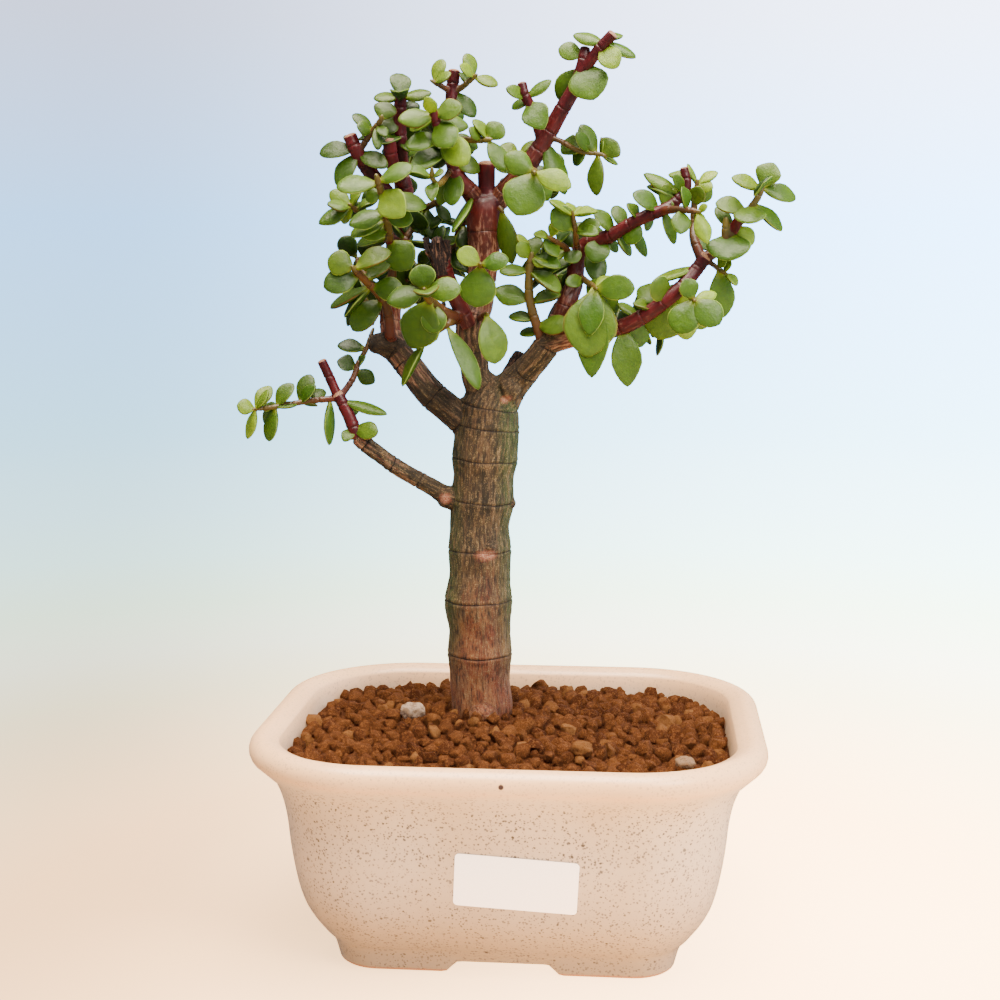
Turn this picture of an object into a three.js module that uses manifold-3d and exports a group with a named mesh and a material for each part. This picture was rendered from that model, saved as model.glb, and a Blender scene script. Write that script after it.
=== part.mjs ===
// A dwarf jade bonsai (Portulacaria afra) in a glazed pot, in millimetres, +Z up.
// The origin is the middle of the pot's foot, on the ground. The front of the tree faces -Y.
import * as THREE from 'three';
import { mergeVertices } from 'three/addons/utils/BufferGeometryUtils.js';
import Module from 'manifold-3d';

const wasm = await Module();
wasm.setup();

// ---------------------------------------------------------------- driving dimensions

const GAP = 0.3; // clearance between pieces that touch
const OVERRUN = 1; // how far a cutting body runs past what it cuts

const POT_WIDTH = 190;
const POT_DEPTH = 160;
const LIP_HEIGHT = 80.5; // height of the centre of the rolled lip
const LIP_RADIUS = 5;
const LIP_CORNER = 45; // corner radius of the lip's centre line
const LIP_TURNS = [-20, 0, 30, 60, 90, 120, 155]; // where the lip's roll has its edges, in degrees
const FOOT_HALF_WIDTH = 62.5;
const FOOT_CORNER = 16;
const WALL = 5; // thickness of the pot's wall
const RECESS = 3.8; // hollow under the pot, inside the foot ring
const FOOT_RING = 9;
const CORNER_STEPS = 4; // edges in each rounded corner of the pot
const FLOOR_TOP = 11;
const NOTCH = { top: 32, bottom: 43, height: 4 }; // cut-out in each side of the foot
const DRAIN = { x: 28, radius: 6 };
const DRAIN_MESH = { side: 20, thick: 1, holes: 3, hole: 3.6, pitch: 5.6 };

// Half the outer width of the pot at each height, from the foot to just under the lip.
const POT_PROFILE = [
  [0, 62.5], [8, 64.6], [12, 68], [18, 72.6], [24, 75.8], [32, 78.1], [44, 80.2], [56, 81.6],
  [64, 83.5], [70, 86],
];

const SOIL_EDGE = 77; // height of the soil along the pot's wall
const GRAIN_DEPTH = 11; // how far the sheet of granules reaches below that
const SOIL_MOUND = 8; // how much higher it is at the trunk
const SOIL_SPREAD = 48; // how far the mound reaches
const GRAIN_PITCH = 9.5; // distance between the granules
const GRAIN_RISE = 2.6;
const GRAIN_SHIFT = 2.5; // how far a granule stands off its even place
const GRAIN_SEED = 7;

const LABEL = {
  width: 43.5, height: 20, thick: 0.6, corner: 1.5, steps: 2, x: 6.2, z: 41.2, turn: 3.3,
};
const PUMICE = { x: -39.5, y: 2.4, z: 83.6, radius: 4.4, stretch: [1.1, 1, 0.8] };

const TRUNK_SIDES = 12;
const LIMB_SIDES = 6;
const TWIG_SIDES = 4;
const STEM_SIDES = 5;
const THIN_STEM = 1.8; // stems thinner than this get TWIG_SIDES

const LEAF_THICKNESS = 2.4;
const LEAF_PLUMPNESS = 0.2; // thickness of a small leaf, as a share of its length
const LEAF_BEND = 0.08; // how far the tip bends back, as a share of the length
// Half the width of a leaf between its base and its tip: [along, wide], each from 0 to 1.
const LEAF_OUTLINE = [[0.34, 0.82], [0.78, 0.9]];
const LEAF_BELLY = 0.5; // where along the leaf it is thickest
const LEAF_ROOT = 1.5; // no leaf starts nearer than this to its stem's end

// The leaves that come in pairs by rule, on the shoots at the back.
const PAIR = { ratio: 0.72, shortest: 0.85, longest: 1.15, leastLean: 0.35, mostLean: 0.75 };
const PAIR_SEED = 20240;

const LOOKS = {
  glaze: { color: 0xe3d3c4, roughness: 0.3 },
  soil: { color: 0x8a4f2c, roughness: 0.95 },
  pumice: { color: 0xe9e4da, roughness: 0.9 },
  label: { color: 0xf4f2ef, roughness: 0.6 },
  mesh: { color: 0x2b2b2b, roughness: 0.6 },
  bark: { color: 0x6e5132, roughness: 0.85 },
  leaf: { color: 0x7fa352, roughness: 0.35 },
};

const v = (x, y, z) => new THREE.Vector3(x, y, z);
const FRONT = v(0, -1, 0);
const degrees = THREE.MathUtils.degToRad;

// ---------------------------------------------------------------- the tree as measured
//
// Every limb and shoot is a route of points with a radius. A leaf grows from its shoot at a share
// of the shoot's length, 0 to 1, and is written as
//   [along, reach x, reach y, reach z, width, roll]
// where the reach runs from the shoot's middle to the leaf's tip, and the roll, in degrees about
// that reach, is 0 where the leaf's face is turned to the front.

// The trunk narrows and swells again at each ring that an old pair of leaves left.
const TRUNK_ROUTE = [
  [-13, 10, 70, 12.2], [-13, 10, 84, 12], [-14, 10, 96, 11.8], [-14, 10, 106, 12.5],
  [-14, 10, 116, 12], [-14.5, 10, 126, 13.2], [-14, 10, 137, 11.8], [-14, 10, 147, 12.2],
  [-14, 10, 157, 11.4], [-13, 10, 166, 12.2], [-12.5, 10, 175, 11.7], [-12, 10, 182, 12.6],
  [-11, 10, 193, 12.2], [-10, 10, 202, 11.2], [-8, 10, 207, 9.6],
];

const LIMBS = {
  lowLeft: [
    [-18, 10, 166, 4], [-26, 7, 168, 3.7], [-34, 4, 173, 3.3], [-45, 0, 180, 3.1],
    [-54, -2, 187, 3.1], [-59, -3, 191, 2.9],
  ],
  left: [
    [-13, 10, 191, 6.5], [-25, 8, 201, 5.8], [-33, 7, 208, 5.6], [-40, 7, 217, 5.3],
    [-47, 8, 225, 5],
  ],
  leftBrokenEnd: [[-44, 8, 223, 4.6], [-50, 5, 226, 4.6], [-54, 3, 226, 3.4]],
  leftUp: [[-46, 8, 223, 4.8], [-48, 11, 229, 4.5]],
  middle: [
    [-8, 10, 203, 8], [-12, 8, 209, 6.9], [-15, 7, 214, 5.6], [-16, 7, 222, 5.6],
    [-17, 7, 230, 5.8], [-16, 8, 237, 6.1], [-14, 8, 241, 5.5], [-13, 8, 250, 5.5],
    [-12, 8, 259, 5.9], [-12, 8, 268, 6.4], [-12, 8, 275, 7.2], [-12, 8, 279, 6.3],
  ],
  middleStub: [[-11, 8, 275, 3.7], [-11, 8, 285, 3.3], [-11, 7, 293, 3.4]],
  middleLeft: [[-11, 8, 274, 5], [-15, 8, 280, 4.3]],
  middleRight: [[-12, 8, 274, 5.2], [-7, 8, 280, 4.5]],
  right: [
    [-7, 10, 203, 8], [-2, 10, 210, 6.6], [4, 7, 216, 5.3], [10, 3, 223, 5], [15, 2, 230, 5],
  ],
  rightInner: [[13, 2, 227, 4.7], [17, 3, 236, 4.1]],
  rightOuter: [[12, 2, 227, 4.7], [26, -2, 230, 3.5]],
  deadStub: [[-5, 13, 209, 3.6], [1, 17, 222, 2.6]],
};
// Each spray is one grown piece: its shoots, then their leaves.
const SPRAYS = {
  low_left: [
    {
      route: [[-59, -3, 191], [-62, -3, 199], [-64, -3, 203], [-66, -3, 207]],
      girth: [2.6, 2.2],
      leaves: [
        [0.23, 9, -8, 0, 7, -30], [0.23, -3, -5, -4, 5, 20], [0.89, 18, -4, -3, 5, -50],
        [0.73, 5, 7, -2, 5, -10],
      ],
    },
    {
      route: [[-66, -3, 206], [-69, -3, 213], [-72, -4, 220]],
      girth: [1.9, 1.8],
    },
    {
      route: [[-66, -3, 206], [-77, -5, 205], [-89, -8, 203], [-98, -10, 202]],
      girth: [1.3, 0.8],
      leaves: [
        [0.09, 2, -3, -17, 6, -70], [0.29, 2, 6, 5, 6, -10], [0.45, 3, 2, 11, 7, -20],
        [0.45, 6, -3, 7, 5, -35], [0.45, -8, -3, 0, 5, 70], [0.41, 5, 4, -1, 5, -75],
        [0.72, 6, 1, 9, 6, -25], [0.73, -4, 0, -13, 6, 30], [0.72, -7, 5, 1, 5, 40],
        [0.73, -6, 4, -7, 5, 20], [0.98, 5, 4, 9, 6, -10], [0.95, -6, -3, 2, 6, 30],
        [0.97, 4, -2, 8, 5, -60], [1, -5, 0, -11, 5, 30],
      ],
    },
    {
      route: [[-65, -3, 207], [-61, -1, 213], [-59, 1, 219], [-56, 3, 225], [-54, 6, 232]],
      girth: [1.3, 0.9],
      leaves: [
        [0.39, 7, 2, -5, 6, -10], [0.42, -7, -2, 3, 7, 35], [0.45, 3, -2, 4, 4, -50],
        [0.71, -11, -1, 2, 6, 40], [0.8, 3, 3, 6, 5, -20],
      ],
    },
  ],
  left_front: [
    {
      route: [[-47, 7, 226], [-47, 2, 230], [-47, 0, 235], [-48, -4, 242], [-52, -10, 248],
      [-55, -17, 252], [-57, -21, 255]],
      girth: [2.4, 1.2],
      leaves: [
        [1, -9, -2, 4, 9, 15], [0.98, 13, 0, 7, 9, -45], [0.87, -12, -6, -4, 9, 10],
        [0.79, 8, 6, 7, 7, -40], [0.68, 12, -4, -1, 9, -20], [0.69, -17, 4, -7, 6, 60],
        [0.69, -12, 4, -11, 5, 60], [0.5, -11, -4, -11, 10, 20],
      ],
    },
    {
      route: [[-47, 0, 236], [-47, 7, 246], [-47, 7, 257], [-46, -4, 266], [-46, -12, 274],
      [-46, -21, 281], [-47, -26, 287]],
      girth: [2.0, 1.3],
      leaves: [
        [0.95, -15, -2, 0, 9, 45], [0.96, 12, -2, 6, 8, -35], [0.9, 9, -8, -9, 11, 0],
        [0.89, -6, 0, -2, 6, 20], [0.85, 16, 2, -2, 9, -40], [0.73, -13, -4, -3, 9, 35],
        [0.71, 10, -4, -2, 7, -10], [0.67, -14, -1, -4, 7, 40], [0.61, -8, -5, -3, 7, 20],
        [0.56, -14, 6, -2, 6, 40], [0.52, 8, -6, -10, 12, 0], [0.34, -8, 4, -5, 8, 30],
        [0.3, 7, 8, -6, 8, -20],
      ],
    },
    {
      route: [[-46, -3, 264], [-54, 3, 270], [-58, 0, 275], [-61, -4, 278]],
      girth: [1.3, 1.0],
      leaves: [
        [0.97, -12, -4, -5, 7, 30], [1, -8, 0, 6, 6, 20], [1, -7, -6, 2, 7, 60], [1, 3, -1, 7, 6, -50],
        [0.93, -5, 3, -6, 5, 20], [0.85, 7, -1, 4, 5, -60],
      ],
    },
  ],
  centre_low: [
    {
      route: [[-17, 3, 233], [-21, 0, 242], [-25, -2, 251], [-27, -4, 257]],
      girth: [3.0, 3.5],
    },
    {
      route: [[-27, -4, 256], [-28, -5, 264]],
      girth: [3.6, 2.6],
    },
    {
      route: [[-19, 2, 237], [-23, -4, 237], [-28, -10, 241], [-30, -19, 244], [-30, -27, 247]],
      girth: [2.2, 1.3],
      leaves: [
        [0.97, -13, -4, -3, 9, 25], [0.97, 13, -3, 1, 9, -20], [1, -1, -2, 9, 9, 10],
        [1, 3, -14, 0, 9, -80], [0.5, 0, -5, -10, 9, -5], [0.65, -8, 2, -18, 15, 5],
      ],
    },
    {
      route: [[-19, 2, 236], [-22, 0, 235], [-24, -7, 234], [-30, -4, 230], [-34, -7, 227]],
      girth: [1.8, 0.9],
      leaves: [
        [0.47, 13, -6, -23, 7, -35], [1, -9, -4, -16, 5, 55],
      ],
    },
  ],
  left_crown: [
    {
      route: [[-48, 11, 229], [-49, 16, 238], [-48, 22, 250], [-47, 24, 261], [-45, 24, 270],
      [-44, 23, 281], [-45, 22, 289]],
      girth: [4.2, 3.4],
    },
    {
      route: [[-45, 22, 287], [-45, 19, 299], [-45, 17, 310], [-44, 15, 320]],
      girth: [3.0, 2.3],
      leaves: [
        [1, -10, -2, 1, 6, 45], [1, 11, -2, 3, 6, -45], [1, 1, -12, 2, 7, -153], [1, -1, 4, 10, 8, 20],
        [0.79, 7, 2, 4, 7, -25], [0.72, -6, -5, -4, 7, 15], [0.54, -5, -12, -3, 7, 35],
        [0.47, 7, -6, -4, 6, -40],
      ],
    },
    {
      route: [[-44, 23, 275], [-51, 18, 284], [-57, 15, 292], [-61, 12, 299], [-63, 11, 304]],
      girth: [3.2, 2.6],
      leaves: [
        [0.86, -14, -1, -1, 7, 25], [0.87, -4, 4, 6, 5, 40], [0.82, -8, -4, -12, 8, 25],
        [0.82, 12, -7, -5, 7, -30], [0.66, 4, 6, -1, 6, -20],
      ],
    },
    {
      route: [[-60, 12, 298], [-57, 11, 302], [-54, 10, 306], [-51, 8, 309], [-50, 7, 311]],
      girth: [1.3, 1.0],
      leaves: [
        [0.59, -7, 0, 7, 6, 45], [0.56, -4, -5, 2, 6, 35], [0.39, -4, 4, 1, 5, 40],
        [0.75, 4, -4, -4, 4, -30], [0.7, 2, -5, -8, 4, -30], [0.89, 3, 2, 7, 9, -10],
      ],
    },
    {
      route: [[-44, 23, 285], [-47, 13, 293], [-48, 10, 302]],
      girth: [2.7, 2.6],
    },
    {
      route: [[-45, 24, 272], [-39, 19, 276], [-31, 13, 279], [-27, 10, 282]],
      girth: [1.6, 1.2],
      leaves: [
        [0.77, 6, -1, -6, 5, -40], [0.58, 4, -3, -12, 6, -40], [0.51, 1, -5, -10, 5, -50],
        [0.3, -3, -6, -7, 6, 30],
      ],
    },
    {
      route: [[-46, 24, 266], [-54, 38, 267], [-63, 49, 272], [-68, 58, 280]],
      girth: [1.6, 0.9], pairs: 4, leafLength: 12,
    },
    {
      route: [[-45, 23, 286], [-47, 38, 295], [-46, 49, 304], [-45, 56, 312]],
      girth: [1.6, 0.9], pairs: 4, leafLength: 12,
    },
    {
      route: [[-48, 19, 246], [-57, 28, 248], [-64, 40, 254], [-68, 47, 260]],
      girth: [1.6, 0.9], pairs: 3, leafLength: 11,
    },
    {
      route: [[-49, 18, 243], [-46, 28, 242], [-44, 42, 247], [-43, 51, 257]],
      girth: [1.6, 0.9], pairs: 4, leafLength: 12,
    },
  ],
  centre_left: [
    {
      route: [[-15, 8, 280], [-17, 5, 283], [-21, 2, 288], [-24, 0, 297], [-27, -4, 304],
      [-29, -7, 311]],
      girth: [4.0, 1.6],
      leaves: [
        [1, -12, -6, -1, 8, 25], [1, 10, -4, 3, 8, -20], [1, -1, -10, 4, 5, 5],
        [0.95, -10, 1, -4, 6, 40], [0.91, 12, 1, -1, 7, -30], [0.9, 6, -8, -9, 10, 0],
        [0.77, 10, -9, -11, 10, 0], [0.71, 13, 4, -2, 7, -30], [0.75, -12, -6, -4, 8, 30],
        [0.69, -15, 5, -3, 6, 45], [0.6, -13, -8, -8, 9, 35], [0.52, 11, 1, -5, 7, -25],
        [0.38, -1, -9, -12, 8, 20], [0.42, -6, -2, -14, 7, 20], [0.07, -7, -6, -23, 7, 50],
      ],
    },
    {
      route: [[-25, 2, 297], [-24, 7, 309], [-24, 8, 318], [-23, 8, 327]],
      girth: [2.5, 2.3],
      leaves: [
        [0.77, 9, -3, -9, 7, -25],
      ],
    },
    {
      route: [[-24, 8, 319], [-27, 5, 321], [-31, 2, 323]],
      girth: [1.2, 0.9],
      leaves: [
        [1, 2, 1, 9, 6, -30], [1, 6, -4, 3, 5, -40],
      ],
    },
    {
      route: [[-24, 8, 319], [-20, 7, 321], [-17, 5, 323], [-14, 3, 325]],
      girth: [1.3, 0.9],
      leaves: [
        [0.97, -2, 0, 9, 6, 35], [1, -4, -5, 4, 5, 50], [1, 9, 0, -2, 6, -40], [0.55, -2, 4, 5, 4, 40],
      ],
    },
    {
      route: [[-25, 2, 298], [-19, 0, 301], [-12, -2, 301], [-8, -4, 301]],
      girth: [1.5, 1.1],
      leaves: [
        [0.98, -5, 1, 8, 5, 45], [1, 5, 0, 6, 8, -12], [0.97, 7, -3, -11, 7, -25],
        [0.78, -3, -5, 4, 5, 45],
      ],
    },
    {
      route: [[-23, 2, 292], [-26, -9, 285], [-28, -16, 286], [-28, -19, 290]],
      girth: [1.1, 0.9],
      leaves: [
        [0.85, -10, -2, 3, 5, 62], [0.85, 4, -3, 2, 4, -62], [0.73, -1, -6, -7, 5, 15],
      ],
    },
    {
      route: [[-23, 2, 293], [-26, 22, 299], [-30, 35, 306], [-32, 47, 312]],
      girth: [1.5, 0.9], pairs: 3, leafLength: 11,
    },
  ],
  centre_top: [
    {
      route: [[-7, 8, 279], [-4, 7, 283], [4, 3, 291], [11, 2, 301], [17, 0, 311], [22, -2, 319],
      [25, -4, 327], [26, -4, 333]],
      girth: [4.2, 1.9],
      leaves: [
        [0.92, 4, -7, -13, 14, 0], [0.89, -9, 5, -11, 10, 10], [0.96, -9, -1, 3, 7, 22],
        [0.45, 9, -4, -19, 9, -35], [0.01, 2, -5, -26, 10, -35],
      ],
    },
    {
      route: [[26, -4, 326], [31, -7, 332], [36, -9, 337]],
      girth: [2.2, 2.0],
      leaves: [
        [0.72, -11, 1, 5, 6, 35], [0.78, 11, -3, -4, 5, -50], [0.59, 6, -6, -7, 8, -10],
        [0.85, 5, 5, 3, 4, -40],
      ],
    },
    {
      route: [[10, 2, 301], [7, 0, 311], [4, -2, 317], [3, -2, 321]],
      girth: [2.0, 1.8],
      leaves: [
        [0.76, -6, -6, 3, 5, 30], [0.76, 8, -2, 7, 5, -40], [0.69, -7, 4, -1, 4, 35],
        [0.69, 6, -7, -10, 10, 0],
      ],
    },
    {
      route: [[12, 2, 301], [16, 0, 301], [24, 2, 297], [31, 2, 296], [34, 2, 295]],
      girth: [1.1, 0.8],
      leaves: [
        [0.74, -4, -5, 7, 5, 35], [0.6, -8, 5, 4, 8, 10], [0.66, -5, 3, -4, 6, 30],
        [0.84, -5, -1, 11, 7, 30], [0.85, -1, -2, -15, 7, 30], [0.95, 0, 3, 7, 4, 70],
        [0.98, 5, -1, 5, 9, -12], [0.98, 6, 4, -2, 5, -60],
      ],
    },
    {
      route: [[4, 3, 291], [8, -10, 289], [9, -21, 288]],
      girth: [1.7, 1.2],
      leaves: [
        [0.75, -10, -3, 6, 9, 12], [1, 13, -5, -5, 8, -18], [0.75, -6, -6, -15, 15, 0],
        [0.58, 6, 1, -10, 8, -20],
      ],
    },
    {
      route: [[-1, 8, 285], [0, 7, 292], [2, 3, 297]],
      girth: [1.2, 0.9],
      leaves: [
        [1, 5, 0, 6, 5, -40], [0.99, -7, 0, 4, 6, 40], [0.41, -7, -3, 2, 6, 35],
        [0.19, -7, 2, -6, 7, 30],
      ],
    },
    {
      route: [[2, 3, 289], [4, 22, 288], [8, 35, 289], [12, 44, 291]],
      girth: [1.4, 0.9], pairs: 3, leafLength: 10,
    },
  ],
  centre_front: [
    {
      route: [[-11, 7, 254], [-11, -9, 255], [-11, -16, 256]],
      girth: [1.6, 1.1],
      leaves: [
        [1, -8, -2, 5, 7, 15], [1, 10, -3, 2, 7, -20], [0.86, -2, -2, -15, 13, 0],
      ],
    },
  ],
  centre_lime: [
    {
      route: [[-13, 3, 236], [-9, -9, 238]],
      girth: [1.3, 1.0],
      leaves: [
        [0.91, 4, -3, -18, 11, -30],
      ],
    },
  ],
  upright: [
    {
      route: [[12, 2, 224], [9, 0, 232], [6, -2, 243], [6, -4, 254], [7, -5, 260]],
      girth: [2.2, 1.3],
      leaves: [
        [0.99, -4, 0, 9, 5, 60], [0.95, -4, -4, 5, 6, 25], [1, 6, -4, -2, 5, -45],
        [1, 2, 3, 8, 7, -20], [0.96, 11, -3, -3, 7, -40], [0.83, -11, -1, 1, 6, 55],
        [0.83, 12, -4, -7, 7, -48], [0.53, -13, -1, 5, 9, 30], [0.51, 11, -1, 4, 6, -50],
        [0.34, -10, 1, 2, 6, 55], [0.28, 11, -9, 1, 8, -35], [0.17, -9, -2, -5, 5, 50],
        [0.2, -8, 4, 1, 5, 40],
      ],
    },
  ],
  right_inner: [
    {
      route: [[17, 3, 236], [20, 3, 243], [22, 7, 249], [23, 8, 257], [26, 7, 263], [32, 3, 265],
      [37, 0, 267], [46, -4, 272], [54, -7, 275], [59, -7, 278], [63, -7, 283], [62, -7, 290]],
      girth: [3.9, 1.6],
      leaves: [
        [0.14, -12, 2, -11, 6, 45], [0.21, -12, 8, -5, 7, 35], [0.46, -3, -6, -8, 9, 5],
        [0.47, 2, -2, 3, 3, -30], [0.4, 3, -6, -14, 8, -10], [0.48, 5, 1, -5, 5, -40],
        [0.54, 6, -1, -8, 5, -45], [0.62, 7, -1, -11, 5, -45], [0.56, 7, -6, -2, 8, -10],
        [0.53, -7, -2, 9, 6, 35], [0.46, -3, 4, 6, 5, 40], [0.58, -3, 3, 9, 6, 30],
        [0.66, -4, -2, 6, 5, 50], [0.67, 3, 4, 5, 5, -40], [0.76, -9, -3, 7, 7, 32],
        [0.78, 1, -2, 9, 5, -5], [0.78, 3, -3, 2, 3, -30], [0.7, 2, 5, -5, 5, -40],
        [0.78, 5, -2, -12, 5, -35], [0.86, -11, 3, 6, 5, 60], [0.88, -13, 1, 9, 6, 35],
        [0.95, -6, 3, 3, 5, 50], [0.89, -3, -5, 6, 4, 20],
      ],
    },
    {
      route: [[54, -7, 275], [61, -16, 275], [68, -19, 274]],
      girth: [1.6, 1.0],
      leaves: [
        [0.6, 0, -6, -8, 7, -15], [1, 4, -5, -10, 6, -15], [1, 3, -3, 2, 3, -20],
        [0.71, -1, -3, 8, 5, 50], [0.88, 4, 3, -6, 5, -30],
      ],
    },
    {
      route: [[24, 8, 259], [23, 0, 264], [23, -7, 268], [22, -10, 275]],
      girth: [1.4, 0.8],
      leaves: [
        [0.71, -8, -4, 7, 9, 10], [0.7, 9, -2, 3, 6, -30], [0.66, 8, -7, 0, 5, -45],
        [0.96, -8, 1, 6, 5, 60], [0.99, 5, 1, 3, 5, -30], [1, -2, 3, 5, 4, 50], [0.94, 9, 0, 2, 5, -55],
      ],
    },
    {
      route: [[23, 7, 256], [19, 0, 262], [16, -5, 264], [13, -9, 266]],
      girth: [1.3, 0.9],
      leaves: [
        [0.67, -4, -6, -2, 8, 15], [0.98, 3, 0, 6, 5, -30], [0.98, -6, 0, 2, 5, 55],
        [0.71, 4, 3, 6, 6, -40], [0.4, 4, -4, -4, 7, -30], [0.37, -10, -2, -2, 6, 50],
        [0.14, -11, 0, -5, 6, 50],
      ],
    },
    {
      route: [[23, 7, 252], [28, -4, 249], [31, -12, 247]],
      girth: [1.4, 1.0],
      leaves: [
        [1, 14, -5, 0, 9, -12], [0.95, 6, 3, 5, 6, -30], [0.46, 6, -8, -4, 8, -5],
        [0.34, -6, -6, -1, 5, 10], [0.95, -3, 4, -25, 19, 0], [0.98, -2, -5, -17, 9, 5],
        [0.92, -1, 7, -32, 12, 5], [0.95, 9, 7, -9, 7, -20],
      ],
    },
    {
      route: [[24, 7, 260], [21, 24, 263], [18, 38, 266], [17, 44, 271]],
      girth: [1.4, 0.9], pairs: 3, leafLength: 10,
    },
  ],
  right_outer: [
    {
      route: [[26, -2, 230], [32, -4, 231], [40, -7, 233], [48, -10, 237], [55, -12, 242],
      [62, -12, 248], [67, -10, 254], [70, -10, 258]],
      girth: [3.3, 2.4],
      leaves: [
        [0.29, 2, -3, -22, 11, -10], [0.35, 6, 7, -9, 9, -15], [0.52, -7, -3, 3, 5, 60],
        [0.41, -7, 4, 7, 5, 45], [0.59, -9, 6, 6, 8, 15], [0.67, -6, -7, 4, 9, 10],
        [0.67, -5, 1, -16, 16, 5], [0.76, 3, 6, -20, 10, -10], [0.94, -17, -3, -4, 6, 62],
      ],
    },
    {
      route: [[69, -10, 257], [66, -7, 265], [66, -4, 271], [66, -4, 278], [67, -5, 286]],
      girth: [2.0, 1.0],
      leaves: [
        [1, -2, 1, 8, 4, 60], [1, 7, 0, 5, 5, -45], [1, 5, -4, -1, 5, -20], [0.9, 6, 1, -3, 7, -15],
        [0.69, 1, -6, 7, 6, -20], [0.19, 5, 3, 2, 7, -30],
      ],
    },
    {
      route: [[70, -10, 258], [76, -10, 262], [80, -12, 268], [83, -12, 272], [88, -14, 279],
      [90, -14, 284]],
      girth: [2.2, 1.0],
      leaves: [
        [0.39, -2, -9, -9, 15, 15], [0.47, 7, 2, -6, 7, -15], [0.66, -11, -1, 4, 7, 30],
        [0.75, -2, -9, -5, 11, 20], [0.43, -6, 2, 9, 5, 20], [0.78, 11, 0, -9, 6, -45],
        [0.94, -10, -2, 5, 6, 40], [0.99, 4, 1, 9, 9, -8], [0.99, 1, -12, -1, 9, 180],
        [0.99, 13, 3, -3, 7, -30],
      ],
    },
    {
      route: [[77, -12, 263], [77, -14, 272]],
      girth: [1.6, 1.5],
    },
    {
      route: [[80, -12, 268], [82, -16, 273]],
      girth: [1.9, 1.8],
    },
    {
      route: [[71, -10, 257], [75, -12, 254], [78, -14, 252]],
      girth: [1.0, 0.8],
      leaves: [
        [0.98, 5, -1, -4, 5, -60], [0.98, 1, 0, 5, 4, -55], [0.5, 2, -3, 4, 4, -30],
        [0.56, 2, 2, -18, 10, -20],
      ],
    },
    {
      route: [[61, -12, 247], [64, -21, 245], [66, -29, 243]],
      girth: [1.6, 1.1],
      leaves: [
        [0.94, -3, -2, 7, 7, 15], [1, 8, 1, 3, 5, -30], [1, 9, -4, -8, 10, -10],
        [1, -6, -4, -11, 11, 12], [0.67, 6, 5, -12, 8, -5],
      ],
    },
    {
      route: [[57, -12, 243], [58, 10, 241], [57, 24, 238]],
      girth: [1.4, 0.9], pairs: 3, leafLength: 11,
    },
  ],
};

// ---------------------------------------------------------------- meshes and solids

// A solid from corner points and triangles that share them.
function solidOf(points, triangles) {
  const vertProperties = new Float32Array(points.flatMap((p) => [p.x, p.y, p.z]));
  const triVerts = new Uint32Array(triangles.flat());
  return new wasm.Manifold(new wasm.Mesh({ numProp: 3, vertProperties, triVerts }));
}

function fuse(solids) {
  return solids.reduce((whole, piece) => whole.add(piece));
}

// The largest body of a solid, once corners closer than a thousandth are one, without the loose
// scraps that a cut can leave.
function mainBody(solid) {
  const { vertProperties, triVerts } = solid.getMesh();
  const geometry = new THREE.BufferGeometry();
  geometry.setAttribute('position', new THREE.BufferAttribute(vertProperties, 3));
  geometry.setIndex(new THREE.BufferAttribute(triVerts, 1));
  const merged = mergeVertices(geometry.toNonIndexed(), 1e-3);
  const settled = new wasm.Manifold(new wasm.Mesh({
    numProp: 3,
    vertProperties: merged.getAttribute('position').array,
    triVerts: new Uint32Array(merged.getIndex().array),
  }));
  return settled.decompose()
    .reduce((best, piece) => (piece.volume() > best.volume() ? piece : best));
}

function meshOf(name, solid, look) {
  const { vertProperties, triVerts } = solid.getMesh();
  const geometry = new THREE.BufferGeometry();
  geometry.setAttribute('position', new THREE.BufferAttribute(vertProperties, 3));
  geometry.setIndex(new THREE.BufferAttribute(triVerts, 1));
  const material = new THREE.MeshStandardMaterial({ ...look, metalness: 0 });
  const mesh = new THREE.Mesh(geometry, material);
  mesh.name = name;
  return mesh;
}

// Rings of equally many points, joined one to the next, with a flat cap at each end.
function loft(rings) {
  const sides = rings[0].length;
  const triangles = [];
  for (let i = 0; i + 1 < rings.length; i += 1) {
    for (let j = 0; j < sides; j += 1) {
      const a = i * sides + j;
      const b = i * sides + ((j + 1) % sides);
      triangles.push([a, b, b + sides], [a, b + sides, a + sides]);
    }
  }
  const top = (rings.length - 1) * sides;
  for (let j = 1; j + 1 < sides; j += 1) {
    triangles.push([0, j + 1, j], [top, top + j, top + j + 1]);
  }
  return solidOf(rings.flat(), triangles);
}

// Rings along a route of [x, y, z, radius], each square to the route there.
function tube(route, sides, grow = 0) {
  const points = route.map(([x, y, z]) => v(x, y, z));
  const last = points.length - 1;
  const steps = points.slice(1).map((p, i) => p.clone().sub(points[i]).normalize());
  const tangents = points.map((_, i) => {
    const before = steps[Math.max(i - 1, 0)];
    const after = steps[Math.min(i, last - 1)];
    return before.clone().add(after).normalize();
  });
  points[0].addScaledVector(tangents[0], -grow);
  points[last].addScaledVector(tangents[last], grow);
  const across = FRONT.clone();
  return loft(points.map((centre, i) => {
    across.addScaledVector(tangents[i], -across.dot(tangents[i])).normalize();
    const beside = tangents[i].clone().cross(across);
    return Array.from({ length: sides }, (_, k) => {
      const angle = (2 * Math.PI * k) / sides;
      return centre.clone()
        .addScaledVector(across, Math.cos(angle) * (route[i][3] + grow))
        .addScaledVector(beside, Math.sin(angle) * (route[i][3] + grow));
    });
  }));
}

// ---------------------------------------------------------------- leaves

// The face of a leaf: turned to the front, then rolled about the leaf's own length.
function faceOf(reach, roll) {
  const along = reach.clone().normalize();
  const front = FRONT.clone().addScaledVector(along, -FRONT.dot(along)).normalize();
  const beside = along.clone().cross(front);
  return front.multiplyScalar(Math.cos(degrees(roll)))
    .addScaledVector(beside, Math.sin(degrees(roll)));
}

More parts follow.
